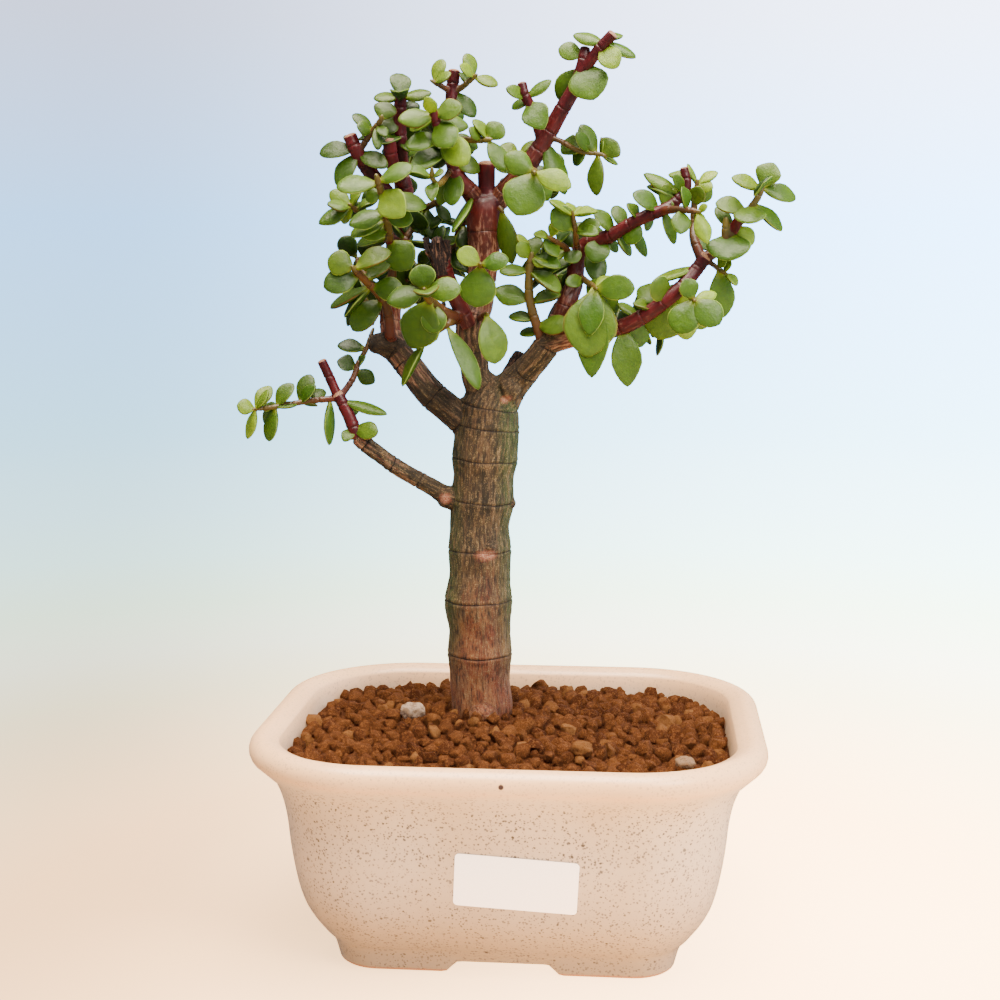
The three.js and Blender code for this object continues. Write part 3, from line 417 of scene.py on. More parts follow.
# %% [markdown]
# ## The pot
#
# The pot is cast stoneware: an oblong body with rounded corners that leans out from a narrow
# foot, curves out again under a thick rolled lip, and has a shallow notch in each side of the
# foot. Its shape is a rule, a rounded rectangle that changes with height, so it is drawn as one
# closed skin: from the middle of the underside over the foot, up the wall, round the lip and
# down to the floor inside.

# %% Sizes of the pot
LIP_HALF_WIDTH = 90.0
LIP_HEIGHT = 80.5
LIP_RADIUS = 5.0
DEPTH_LESS = 15.0  # the pot is this much shallower than wide, each side of its middle
FOOT_HALF_WIDTH = 62.5
FOOT_CORNER = 16.0
LIP_CORNER = 45.0
RECESS_HEIGHT = 3.8
FLOOR_TOP = 11.0
WALL = 5.0
NOTCH_TOP = 32.0
NOTCH_FOOT = 43.0
NOTCH_HEIGHT = 4.0
DRAIN_X = 28.0
DRAIN_RADIUS = 6.0

# Half the outer width at each height, from the foot to the hollow under the lip.
POT_PROFILE = [
    (0, 62.5), (8, 64.6), (12, 68), (18, 72.6), (24, 75.8), (32, 78.1), (44, 80.2), (56, 81.6),
    (64, 83.5), (70, 86),
]
FOOT_EDGE = 1.4  # the radius of the foot's lower edge
FOOT_RING = 9.0  # the width of the ring that the pot stands on
UNDER_FOOT = (40, 30, 18, 11.5)  # the recess's points, so far in from the foot's outside
# Half the inner width at each height, down the inside.
HOLLOW_PROFILE = [
    (84.2, 83.4), (83.2, 80.5), (82.4, 76), (81.4, 70), (79, 60), (76, 45), (73.5, 30),
]
# The hollow's rounded bottom corner and floor: how far in from its wall, and the height.
HOLLOW_HALF_WIDTH = 77.0
HOLLOW_FLOOR = [
    (8, 18), (11, FLOOR_TOP + 1), (16, FLOOR_TOP), (28, FLOOR_TOP), (38, FLOOR_TOP),
]
STRAIGHT_X, CORNER_STEPS, STRAIGHT_Y = 26, 16, 18  # points along a quarter of the plan


def smooth_curve(rows, steps):
    """Rows of numbers joined by a Catmull-Rom curve, with this many steps between two rows."""
    rows = np.array(rows, float)
    padded = np.vstack([2 * rows[0] - rows[1], rows, 2 * rows[-1] - rows[-2]])
    made = []
    for i in range(1, len(padded) - 2):
        p0, p1, p2, p3 = padded[i - 1:i + 3]
        for k in range(steps):
            t = k / steps
            made.append(
                0.5 * (2 * p1 + (p2 - p0) * t + (2 * p0 - 5 * p1 + 4 * p2 - p3) * t * t
                       + (3 * p1 - p0 - 3 * p2 + p3) * t ** 3)
            )
    return np.array([*made, rows[-1]])


def corner_of(half_width):
    share = (half_width - FOOT_HALF_WIDTH) / (LIP_HALF_WIDTH - FOOT_HALF_WIDTH)
    return FOOT_CORNER + (LIP_CORNER - FOOT_CORNER) * share


def plan(half_width, inset=0.0):
    """The pot's plan where its outside is half_width wide, moved inwards by the inset."""
    corner = max(corner_of(half_width) - inset, 2.0)
    straight_x = half_width - inset - corner
    straight_y = half_width - DEPTH_LESS - inset - corner
    quarter = [(straight_x + corner, straight_y * t) for t in np.linspace(0, 1, STRAIGHT_Y)[:-1]]
    for turn in np.linspace(0, math.pi / 2, CORNER_STEPS):
        quarter.append((straight_x + corner * math.cos(turn), straight_y + corner * math.sin(turn)))
    quarter += [(straight_x * t, straight_y + corner) for t in np.linspace(1, 0, STRAIGHT_X)[1:]]
    quarter = np.array(quarter)
    half = np.vstack([quarter[:-1], (quarter * (-1, 1))[::-1][:-1]])
    return np.vstack([half, half * -1])


def loft(rings, first_closed=True):
    """Points and faces of a skin over rings of equally many points, closed at its ends."""
    sides = len(rings[0])
    faces = bands(len(rings), sides)
    if first_closed:
        faces.append(tuple(range(sides))[::-1])
    faces.append(tuple((len(rings) - 1) * sides + i for i in range(sides)))
    return np.vstack(rings), faces


def raised(ring_2d, z):
    """A plan lifted to a height, which may differ from point to point."""
    return np.column_stack([ring_2d, np.broadcast_to(z, len(ring_2d))])


# %% [markdown]
# The notch is not cut but modelled: along the foot's lower edge each point is lifted by a soft
# step, so that the glaze-soft edges come for free.


# %% The skin of the pot
def notch_lift(ring_2d):
    """How high the foot's lower edge stands over the ground at each point of the plan."""
    x, y = np.abs(ring_2d[:, 0]), np.abs(ring_2d[:, 1])
    along = np.where(y - (FOOT_HALF_WIDTH - DEPTH_LESS) > x - FOOT_HALF_WIDTH, x, y)
    t = share_of(along, NOTCH_FOOT / 2, NOTCH_TOP / 2)
    return NOTCH_HEIGHT * t * t * (3 - 2 * t)


def pot_rings():
    rings = []
    lift = notch_lift(plan(FOOT_HALF_WIDTH))
    # Under the foot: the recess, the foot ring's inner side, and its rounded lower edges.
    for inset in UNDER_FOOT:
        rings.append(raised(plan(FOOT_HALF_WIDTH, inset), RECESS_HEIGHT))
    rings.append(raised(plan(FOOT_HALF_WIDTH, FOOT_RING + 0.4), RECESS_HEIGHT - 0.1))
    for inset, rise in ((FOOT_RING, 1.6), (FOOT_RING - 0.5, 0.4), (FOOT_RING - 1.6, 0)):
        low = np.maximum(lift, rise)
        rings.append(raised(plan(FOOT_HALF_WIDTH, inset), np.minimum(low, NOTCH_HEIGHT)))
    rings.append(raised(plan(FOOT_HALF_WIDTH, 4), lift))
    for turn in (0, 25, 50, 75):
        inset = FOOT_EDGE * (1 - math.sin(math.radians(turn)))
        rise = FOOT_EDGE * (1 - math.cos(math.radians(turn)))
        rings.append(raised(plan(FOOT_HALF_WIDTH, inset), lift + rise))
    # The wall: low on the foot the rings still follow the notch.
    for z, half_width in smooth_curve(POT_PROFILE, 5)[1:]:
        if z < 8:
            z = np.maximum(z, FOOT_EDGE + lift + (8 - FOOT_EDGE - lift) * z / 8)
        rings.append(raised(plan(half_width), z))
    # The rolled lip, over its top and in.
    for turn in range(-38, 131, 12):
        out = LIP_RADIUS * math.cos(math.radians(turn))
        z = LIP_HEIGHT + LIP_RADIUS * math.sin(math.radians(turn))
        rings.append(raised(plan(LIP_HALF_WIDTH, -out), z))
    # Down the inside.
    for half_width, z in smooth_curve(HOLLOW_PROFILE, 3):
        rings.append(raised(plan(half_width + WALL, WALL), z))
    for inset, z in HOLLOW_FLOOR:
        rings.append(raised(plan(HOLLOW_HALF_WIDTH, inset), z))
    return rings


def pot_mesh():
    points, faces = loft(pot_rings())
    pot = mesh_object("glazed_pot", points * MM, faces)
    for x in (-DRAIN_X, DRAIN_X):
        bpy.ops.mesh.primitive_cylinder_add(
            vertices=32, radius=DRAIN_RADIUS * MM, depth=3 * FLOOR_TOP * MM, location=mm(x, 0, 0)
        )
        drill = bpy.context.object
        cut = pot.modifiers.new("drain", "BOOLEAN")
        cut.operation = "DIFFERENCE"
        cut.solver = "EXACT"
        cut.object = drill
        applied(pot)
        bpy.data.objects.remove(drill)
    return smooth(pot, 50)


pot = pot_mesh()
print("pot skin:", len(pot.data.polygons), "faces")

# %% [markdown]
# The glaze is a satin cream with a pink cast. Grains of metal oxide in it burn to fine grey,
# brown and bluish specks of three sizes, many of them below the lip and few on it. The foot's
# edge is wiped clean of glaze and shows the fired clay.


# %% The glaze
IRON_SPOT = (2.3, -80.0, 81.0)


def specks(tree, vector, cell_mm, share, size, blur=0.3):
    """1 inside a speck: one cell in so many holds a speck, and its size is a share of the cell."""
    cells = add(tree, "ShaderNodeTexVoronoi", {"Vector": vector, "Scale": 1 / cell_mm})
    pick = add(tree, "ShaderNodeSeparateColor", {0: cells.outputs["Color"]})
    chosen = math_node(tree, "LESS_THAN", pick.outputs[0], share)
    reach = ramp(tree, pick.outputs[1], 0, 1, size * 0.45, size)
    near = math_node(tree, "SUBTRACT", reach, cells.outputs["Distance"])
    soft = math_node(tree, "MULTIPLY", near, 1 / (blur * size), clamp=True)
    return times(tree, soft, chosen)


def glaze_material():
    material, tree, shader = new_material("speckled glaze", Coat_Weight=0.2, Coat_Roughness=0.22)
    at = in_millimetres(tree)
    height = height_of(tree, at)
    cloud = ramp(tree, noise_node(tree, at, 0.02, 3), 0.35, 0.65)
    base = mix(tree, cloud, colour(174, 148, 119), colour(180, 157, 132))
    # Painted shade darkens the wall towards the foot, and the lip is painted lighter and warmer
    # for the bright light on its top.
    thin = ramp(tree, height, 4, 50, 0.9, 0.0)
    base = mix(tree, thin, base, colour(128, 112, 92))
    base = mix(tree, ramp(tree, height, 73, 83, 0.0, 0.9), base, colour(216, 164, 110))
    wobble = noise_node(tree, at, 0.9, 3, 0.7)
    drift = add(tree, "ShaderNodeTexNoise", {"Vector": at, "Scale": 1.3}).outputs["Color"]
    warped = vector_math(tree, "ADD", {0: at, 1: drift})[0]
    # Fewer specks on the lip, most of them just under it.
    density = ramp(tree, height, 70, 77, 1.0, 0.3)
    below = ramp(tree, height, 40, 66, 0.85, 1.0)
    patchy = ramp(tree, noise_node(tree, at, 0.07, 2), 0.35, 0.65, 0.8, 1.0)
    shown = times(tree, density, times(tree, below, patchy))
    grey = mix(tree, wobble, colour(74, 62, 54), colour(58, 54, 58))
    brown = mix(tree, wobble, colour(46, 34, 26), colour(36, 34, 42))
    dust = specks(tree, warped, 1.05, 0.8, 0.5)
    grains = specks(tree, warped, 2.1, 0.5, 0.25)
    spots = specks(tree, warped, 5.0, 0.3, 0.16)
    tone = base
    for mark, strength, shade in ((dust, 0.9, grey), (grains, 0.95, brown), (spots, 1.0, brown)):
        amount = times(tree, mark, times(tree, shown, strength))
        tone = mix(tree, amount, tone, shade)
    # One larger iron spot has burnt through at the front of the lip.
    offset = vector_math(tree, "DISTANCE", {0: at, 1: IRON_SPOT})["Value"]
    burnt = ramp(tree, offset, 0.7, 1.15, 1.0, 0.0)
    tone = mix(tree, burnt, tone, colour(57, 36, 30))
    # The wiped foot.
    edge = plus(tree, height, times(tree, wobble, 1.2))
    bare = ramp(tree, edge, 1.3, 2.3, 1.0, 0.0)
    tone = mix(tree, bare, tone, colour(142, 98, 66))
    shine = ramp(tree, wobble, 0.3, 0.7, 0.36, 0.44)
    shine = plus(tree, shine, times(tree, bare, 0.4))
    relief = bump(tree, noise_node(tree, at, 0.35, 2), 0.25, 0.3)
    relief = bump(tree, noise_node(tree, at, 2.4, 3), 0.04, 0.5, relief)
    return wired(material, tree, shader, tone, relief, shine)


place(covered(pot, glaze_material()), "glaze", "pot")

# %% [markdown]
# Two squares of black plastic net lie over the drain holes, under the soil. The solid model
# already has their exact shape, so they only get a finish.


# %% The drain nets
def net_material():
    material, tree, shader = new_material("black net", Roughness=0.5)
    at = in_millimetres(tree)
    grime = ramp(tree, noise_node(tree, at, 0.5, 4), 0.45, 0.75)
    tone = mix(tree, grime, colour(38, 38, 40), colour(84, 62, 46))
    return wired(material, tree, shader, tone, bump(tree, noise_node(tree, at, 3.0, 3), 0.05))


net = net_material()
for side in ("left", "right"):
    covered(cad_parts[f"drain_mesh_{side}"], net)
print("nets: 2, with", net.name)

# %% [markdown]
# ## The sticker
#
# A small blank paper sticker is stuck on the front wall, slightly crooked. The wall is straight
# from side to side there but curves up and down, so a flat rounded card is sliced into a grid
# and each of its points is then laid on the wall.

# %% The sticker
STICKER = {"width": 43.5, "height": 20.0, "corner": 1.5, "x": 6.2, "z": 41.2, "turn": 3.3}
STICKER_LIFT = 0.17
STICKER_THICKNESS = 0.15
STICKER_SLICE = 2.0
STICKER_RIPPLE = 0.05


def wall_front(z):
    """How far in front of the middle the pot's front wall stands at a height."""
    heights, half_widths = zip(*POT_PROFILE)
    return np.interp(z, heights, half_widths) - DEPTH_LESS


def sticker_mesh():
    half_w, half_h = STICKER["width"] / 2, STICKER["height"] / 2
    corner = STICKER["corner"]
    outline = []
    for sx, sz, start in ((1, 1, 0), (-1, 1, 90), (-1, -1, 180), (1, -1, 270)):
        for turn in range(start, start + 91, 15):
            outline.append((
                sx * (half_w - corner) + corner * math.cos(math.radians(turn)), 0,
                sz * (half_h - corner) + corner * math.sin(math.radians(turn)),
            ))
    card = mesh_object("blank_sticker", outline, [tuple(range(len(outline)))])
    shape = bmesh.new()
    shape.from_mesh(card.data)
    cut = STICKER_SLICE
    slices = [((x, 0, 0), (1, 0, 0)) for x in np.arange(-half_w + cut, half_w, cut)]
    slices += [((0, 0, z), (0, 0, 1)) for z in np.arange(-half_h + cut, half_h, cut)]
    for spot, across in slices:
        everything = shape.verts[:] + shape.edges[:] + shape.faces[:]
        bmesh.ops.bisect_plane(shape, geom=everything, plane_co=spot, plane_no=across)
    turn = math.radians(STICKER["turn"])
    for vert in shape.verts:
        x, _, z = vert.co
        wide = x * math.cos(turn) + z * math.sin(turn) + STICKER["x"]
        high = z * math.cos(turn) - x * math.sin(turn) + STICKER["z"]
        ripple = STICKER_RIPPLE * noise.noise(Vector((x, z, 0)) * 0.12)
        vert.co = mm(wide, -wall_front(high) - STICKER_LIFT - ripple, high)
    bmesh.ops.recalc_face_normals(shape, faces=shape.faces)
    shape.to_mesh(card.data)
    shape.free()
    if card.data.polygons[0].normal.y > 0:
        card.data.flip_normals()
    solid = card.modifiers.new("thickness", "SOLIDIFY")
    solid.thickness = STICKER_THICKNESS * MM
    solid.offset = 1
    return smooth(applied(card), 40)


def paper_material():
    material, tree, shader = new_material("sticker paper", Roughness=0.42)
    at = in_millimetres(tree)
    fibre = noise_node(tree, stretched(tree, at, 1.0, 1.0, 1.6), 1.6, 5, 0.7)
    tone = mix(tree, ramp(tree, fibre, 0.3, 0.7), colour(250, 240, 234), colour(254, 247, 243))
    return wired(material, tree, shader, tone, bump(tree, fibre, 0.03, 0.5))


place(covered(sticker_mesh(), paper_material()), "sticker", "label")

# %% [markdown]
# ## The soil
#
# The pot is filled with baked clay granules a few millimetres across, reddish brown with a few
# lighter ones. Every granule is its own small lump. Geometry Nodes scatter them over the bed's
# surface at least a granule apart, turn each at random and pick one of a few rough lumps, and a
# dark bed below closes the gaps.

# %% The soil's surface
SOIL_EDGE = 77.0
SOIL_MOUND = 8.0
SOIL_SPREAD = 48.0
TRUNK_FOOT = (-13.0, 10.0)
SOIL_INSET = 6.4  # from the plan at the shoulder to the sheet's edge
SHOULDER = 86.0
SHEET_DROP = 1.9  # how far below the granules' tops their sheet lies
BED_DROP = 2.2  # and the bed's top
BED_EDGE_DROP = 4.5  # and the bed's rim
BED_SIDE = ((22, 11.4), (20, 20), (14, 40), (9, 62))  # inset and height, upwards
BED_TOP = (1.0, 0.985, 0.9, 0.8, 0.7, 0.6, 0.5, 0.4, 0.3, 0.2, 0.1)  # shares of the rim's plan


def soil_height(x, y):
    away = math.hypot(x - TRUNK_FOOT[0], y - TRUNK_FOOT[1]) / SOIL_SPREAD
    uneven = 1.1 * noise.noise(Vector((x, y, 3)) * 0.045)
    return SOIL_EDGE + SOIL_MOUND * math.exp(-away * away) + uneven


def soil_ring(inset, share, drop):
    """A ring of points this far below the soil's surface."""
    flat = plan(SHOULDER, inset) * share
    return raised(flat, [soil_height(x, y) - drop for x, y in flat])


def soil_bed():
    """A dark lump under the granules, down to the pot's floor."""
    rings = [raised(plan(SHOULDER, inset), z) for inset, z in BED_SIDE]
    for share in BED_TOP:
        drop = BED_EDGE_DROP if share == 1.0 else BED_DROP
        rings.append(soil_ring(SOIL_INSET - 3, share, drop))
    points, faces = loft(rings)
    return smooth(mesh_object("soil_bed", points * MM, faces))


def scatter_ground():
    """The sheet that the granules are scattered on."""
    rings = [soil_ring(SOIL_INSET, share, SHEET_DROP) for share in np.linspace(1, 0.04, 24)]
    points, faces = loft(rings, first_closed=False)
    return mesh_object("soil_granules", points * MM, faces)


# %% [markdown]
# A lump is a ball of 80 triangles whose corners are pushed in and out by noise and then planed
# by a few flat cuts, as a broken and tumbled crumb of clay is. Ten different lumps, turned and
# stretched, are enough for no two neighbours to look alike.


# %% The lumps
LUMP_KINDS = 10
LUMP_CUTS = 7
LUMP_SEED = 40  # the first lump's, and each other has the next


def lump(name, seed):
    random = np.random.default_rng(seed)
    ways = [Vector(random.normal(size=3)).normalized() for _ in range(LUMP_CUTS)]
    cuts = [(way, random.uniform(0.28, 0.43)) for way in ways]
    drift = Vector(random.uniform(-50, 50, 3))

    def moved(spot):
        coarse, fine = noise.noise(spot * 3.2 + drift), noise.noise(spot * 9 + drift)
        spot = spot * (1 + 0.55 * coarse + 0.3 * fine)
        for direction, limit in cuts:
            past = max(spot.dot(direction) - limit, 0)
            spot = spot - direction * past * 0.9
        return spot

    mesh = ball_mesh(name, 2, 0.5, moved)
    mesh.set_sharp_from_angle(angle=math.radians(60))
    return bpy.data.objects.new(name, mesh)


LUMPS = collection_of("lumps", [lump(f"lump_{i}", LUMP_SEED + i) for i in range(LUMP_KINDS)])

# %% [markdown]
# Every tree of Geometry Nodes in this script starts from named inputs. Each one that places
# parts ends by turning its instances into plain mesh and giving them their material.


# %% Helpers for Geometry Nodes
def new_geometry_tree(name, inputs):
    """A Geometry Nodes tree with these named inputs, and its two end nodes."""
    tree = bpy.data.node_groups.new(name, "GeometryNodeTree")
    tree.interface.new_socket("Geometry", in_out="INPUT", socket_type="NodeSocketGeometry")
    tree.interface.new_socket("Geometry", in_out="OUTPUT", socket_type="NodeSocketGeometry")
    for label, kind, value in inputs:
        socket = tree.interface.new_socket(label, in_out="INPUT", socket_type=kind)
        if value is not None:
            socket.default_value = value
    return tree, tree.nodes.new("NodeGroupInput").outputs, tree.nodes.new("NodeGroupOutput")


def named(tree, name, kind="FLOAT"):
    made = add(tree, "GeometryNodeInputNamedAttribute", {"Name": name}, data_type=kind)
    return in_use(made.outputs)[0]


def store(tree, geometry, name, value, kind="FLOAT", domain="POINT"):
    inputs = {"Geometry": geometry, "Name": name, "Value": value}
    made = add(tree, "GeometryNodeStoreNamedAttribute", inputs, data_type=kind, domain=domain)
    return made.outputs[0]


def random_value(tree, low, high, seed, kind="FLOAT"):
    made = add(tree, "FunctionNodeRandomValue", {"Seed": seed}, data_type=kind)
    for socket, value in zip(in_use(made.inputs), (low, high)):
        feed(tree, socket, value)
    return in_use(made.outputs)[0]


def one_on_each(tree, points, kinds, pick, rotation, scale):
    """On each point one object of the collection, turned and scaled."""
    inputs = {"Collection": kinds, "Separate Children": True, "Reset Children": True}
    parts = add(tree, "GeometryNodeCollectionInfo", inputs).outputs[0]
    inputs = {
        "Points": points, "Instance": parts, "Pick Instance": True, "Instance Index": pick,
        "Rotation": rotation, "Scale": scale,
    }
    return add(tree, "GeometryNodeInstanceOnPoints", inputs).outputs[0]


def ended(tree, out, geometry, material):
    """The tree, with its parts made plain mesh and given their material at its end."""
    plain = add(tree, "GeometryNodeRealizeInstances", {0: geometry}).outputs[0]
    dressed = add(tree, "GeometryNodeSetMaterial", {"Geometry": plain, "Material": material})
    tree.links.new(dressed.outputs[0], out.inputs[0])
    return tree


def run_tree(obj, tree, **values):
    """The object's mesh after the tree, with the named inputs set on the modifier."""
    modifier = obj.modifiers.new(tree.name, "NODES")
    modifier.node_group = tree
    for item in tree.interface.items_tree:
        key = item.name.replace(" ", "_").lower()
        if item.in_out == "INPUT" and key in values:
            modifier[item.identifier] = values[key]
    return applied(obj)


# %% Scattering the granules
ANY_TURN = 3.14  # radians, either way
GRANULE_RISE = (-0.9 * MM, 1.3 * MM)  # each is sunk or lifted by up to this
GRANULE_SHAPE = ((0.85, 0.8, 0.7), (1.2, 1.1, 0.95))
DENSE_ENOUGH = 1e6  # so many points a square metre that only their spacing thins them out


def granule_tree():
    tree, given, out = new_geometry_tree("scattered granules", [
        ("Spacing", "NodeSocketFloat", 5.0 * MM),
        ("Smallest", "NodeSocketFloat", 4.8 * MM),
        ("Largest", "NodeSocketFloat", 8.4 * MM),
        ("Seed", "NodeSocketInt", 11),
        ("Lumps", "NodeSocketCollection", None),
        ("Material", "NodeSocketMaterial", None),
    ])
    spread = add(
        tree, "GeometryNodeDistributePointsOnFaces",
        {"Mesh": given["Geometry"], "Distance Min": given["Spacing"], "Seed": given["Seed"],
         "Density Max": DENSE_ENOUGH},
        distribute_method="POISSON",
    )
    rise = random_value(tree, *((0, 0, z) for z in GRANULE_RISE), 3, "FLOAT_VECTOR")
    lifted = add(
        tree, "GeometryNodeSetPosition", {"Geometry": spread.outputs["Points"], "Offset": rise}
    )
    turn = random_value(tree, (-ANY_TURN,) * 3, (ANY_TURN,) * 3, 5, "FLOAT_VECTOR")
    size = random_value(tree, given["Smallest"], given["Largest"], 7)
    shape = random_value(tree, *GRANULE_SHAPE, 9, "FLOAT_VECTOR")
    scale = vector_math(tree, "SCALE", {0: shape, "Scale": size})[0]
    pick = random_value(tree, 0, LUMP_KINDS - 1, 13, "INT")
    placed = one_on_each(tree, lifted.outputs[0], given["Lumps"], pick, turn, scale)
    tint = random_value(tree, 0.0, 1.0, 17)
    tinted = store(tree, placed, "tint", tint, domain="INSTANCE")
    return ended(tree, out, tinted, given["Material"])


GRANULES = granule_tree()
print("granules:", len(GRANULES.nodes), "nodes")

# %% [markdown]
# Fired clay is matt and crumbly, redder where it is fresh and paler where dust lies on it. Each
# granule has a tint of its own, from 0 to 1. A tint of 1.2 and more is chalk.


# %% The clay
def clay_material():
    """Crumbly matt clay. The tint picks the granule's own shade."""
    material, tree, shader = new_material("baked clay", Roughness=1.0, Specular_IOR_Level=0.05)
    at = in_millimetres(tree)
    tint = attribute(tree, "tint")
    rough = noise_node(tree, at, 0.8, 6, 0.75)
    dark = mix(tree, ramp(tree, tint, 0.0, 0.6), colour(62, 32, 14), colour(81, 46, 21))
    light = mix(tree, ramp(tree, tint, 0.88, 1.0), colour(94, 56, 26), colour(115, 75, 39))
    tone = mix(tree, ramp(tree, tint, 0.78, 0.98), dark, light)
    chalk = mix(tree, ramp(tree, tint, 1.2, 1.8), colour(122, 80, 44), colour(140, 112, 84))
    tone = mix(tree, ramp(tree, tint, 1.2, 1.8), tone, chalk)
    crumb = noise_node(tree, at, 2.0, 4, 0.8)
    dust = ramp(tree, plus(tree, rough, crumb), 0.98, 1.22, 0.0, 0.7)
    tone = mix(tree, dust, tone, colour(131, 82, 44))
    # Painted shade darkens the pits where the crumb relief sinks.
    tone = mix(tree, ramp(tree, crumb, 0.34, 0.48, 0.75, 0.0), tone, colour(38, 20, 8))
    relief = bump(tree, rough, 1.3, 1.0)
    relief = bump(tree, crumb, 0.8, 1.0, relief)
    return wired(material, tree, shader, tone, relief)


# %% The soil's pieces
clay = clay_material()
granules = run_tree(scatter_ground(), GRANULES, lumps=LUMPS, material=clay)
bed = covered(soil_bed(), clay)
smooth(granules)


def joined(target, *others):
    """One mesh out of several, under the first one's name."""
    bpy.ops.object.select_all(action="DESELECT")
    for obj in (target, *others):
        obj.select_set(True)
    bpy.context.view_layer.objects.active = target
    bpy.ops.object.join()
    return target


place(joined(granules, bed), "soil", "soil")

# %% [markdown]
# A few odd stones lie among the clay: a chalky pumice grain beside the trunk, a pale pebble at
# the right front and an orange crumb at the front. The pumice grain is its own piece.

# %% The odd stones
PUMICE = {"at": (-39.5, 2.4, 83.8), "radius": 4.3, "shape": (1.12, 0.95, 0.86), "seed": 3}
ODD_STONES = [  # each with its tint of clay
    (2.0, {"at": (64.7, -43.6, 80.0), "radius": 3.1, "shape": (1.2, 0.9, 0.75), "seed": 5}),
    (0.97, {"at": (27.8, -34.4, 81.4), "radius": 3.6, "shape": (1.1, 0.9, 0.85), "seed": 8}),
]


def stone(name, at, radius, shape, seed):
    """A lump with finer relief than the granules have."""
    drift = Vector((seed * 7.1, seed * 3.3, seed * 5.7))

    def moved(spot):
        push = 0.22 * noise.noise(spot * 1.6 + drift) + 0.07 * noise.noise(spot * 5 + drift)
        spot = spot * (1 + push)
        return mm(*(c * radius * s + a for c, s, a in zip(spot, shape, at)))

    return link(bpy.data.objects.new(name, ball_mesh(name, 4, 1.0, moved)))


def pumice_material():
    material, tree, shader = new_material("chalky pumice", Roughness=0.95, Specular_IOR_Level=0.2)
    at = in_millimetres(tree)
    cells = add(tree, "ShaderNodeTexVoronoi", {"Vector": at, "Scale": 1.4}).outputs["Distance"]
    holes = ramp(tree, cells, 0.15, 0.4)
    stain = ramp(tree, noise_node(tree, at, 0.5, 4), 0.42, 0.62)
    tone = mix(tree, stain, colour(132, 110, 88), colour(98, 76, 56))
    # Painted shade darkens the pores where the relief sinks.
    tone = mix(tree, ramp(tree, cells, 0.15, 0.4, 0.5, 0.0), tone, colour(68, 56, 46))
    return wired(material, tree, shader, tone, bump(tree, holes, 0.35, 0.9))


place(covered(stone("pumice_stone", **PUMICE), pumice_material()), "pumice", "pumice_grain")
for i, (tint, form) in enumerate(ODD_STONES):
    pebble = stone(f"odd_stone_{i}", **form)
    set_values(pebble.data, "tint", np.full(len(pebble.data.vertices), tint))
    place(covered(pebble, clay), "soil")

# %% [markdown]
# ## The wood
#
# Every piece of wood is a route: points in millimetres, each with the wood's radius there. The
# trunk forks into pruned limbs, and short routes add the knobs, collars and bud scars that the
# bark bulges into.

# %% Routes of the old wood
TRUNK = [
    [-13, 10, 70, 12.2], [-13, 10, 84, 12.0], [-14, 10, 96, 11.8], [-14, 10, 106, 12.5],
    [-14, 10, 116, 12.0], [-14.5, 10, 126, 13.2], [-14, 10, 137, 11.8], [-14, 10, 147, 12.2],
    [-14, 10, 157, 11.4], [-13, 10, 166, 12.2], [-12.5, 10, 175, 11.7], [-12, 10, 182, 12.6],
    [-11, 10, 193, 12.2], [-10, 10, 202, 11.2], [-8, 10, 207, 9.6],
]
LIMBS = {
    "low_left": [
        [-18, 10, 166, 4.0], [-26, 7, 168, 3.7], [-34, 4, 173, 3.3], [-45, 0, 180, 3.1],
        [-54, -2, 187, 3.1], [-59, -3, 191, 2.9],
    ],
    "left": [
        [-13, 10, 191, 6.5], [-25, 8, 201, 5.8], [-33, 7, 208, 5.6], [-40, 7, 217, 5.3],
        [-47, 8, 225, 5.0],
    ],
    "left_broken_end": [[-44, 8, 223, 4.6], [-50, 5, 226, 4.6], [-54, 3, 226, 3.4]],
    "left_up": [[-46, 8, 223, 4.8], [-48, 11, 229, 4.5]],
    "middle": [
        [-8, 10, 203, 8.0], [-12, 8, 209, 6.9], [-15, 7, 214, 5.6], [-16, 7, 222, 5.6],
        [-17, 7, 230, 5.8], [-16, 8, 237, 6.1], [-14, 8, 241, 5.5], [-13, 8, 250, 5.5],
        [-12, 8, 259, 5.9], [-12, 8, 268, 6.4], [-12, 8, 275, 7.2], [-12, 8, 279, 6.3],
    ],
    "middle_stub": [[-11, 8, 275, 3.7], [-11, 8, 285, 3.3], [-11, 7, 293, 3.4]],
    "middle_left": [[-11, 8, 274, 5.0], [-15, 8, 280, 4.3]],
    "middle_right": [[-12, 8, 274, 5.2], [-7, 8, 280, 4.5]],
    "right": [
        [-7, 10, 203, 8.0], [-2, 10, 210, 6.6], [4, 7, 216, 5.3], [10, 3, 223, 5.0],
        [15, 2, 230, 5.0],
    ],
    "right_inner": [[13, 2, 227, 4.7], [17, 3, 236, 4.1]],
    "right_outer": [[12, 2, 227, 4.7], [26, -2, 230, 3.5]],
    "dead_stub": [[-5, 13, 209, 3.6], [1, 17, 222, 2.6]],
}
KNOBS = {
    "bud_right": [[-4, 8, 165.2, 2.6], [-0.6, 8, 165.4, 1.8]],
    "bud_scar_right": [[-4, 8, 197.5, 2.6], [-0.2, 8, 196.6, 1.6]],
    "bump_left": [[-22, 8, 126.6, 3.6], [-26.0, 8, 126.3, 2.0]],
    "collar_low_left": [[-22, 8, 166.5, 4.8], [-27.5, 5, 168, 4.2]],
    "scar_front": [[-9, 1, 149.5, 3.0], [-8.8, -1.4, 149.3, 1.6]],
    "callus": [[-2, 5, 209.5, 5.0], [0.1, 3.4, 210.9, 3.4]],
    "foot_front": [[-12, 2, 84, 6.0], [-12, -1.5, 82, 4.5]],
}

# %% [markdown]
# The rings are old nodes, where leaves once stood. On the trunk they lie at certain heights and
# on the limbs at certain points. Each is a thin dark groove with a slightly swollen edge.

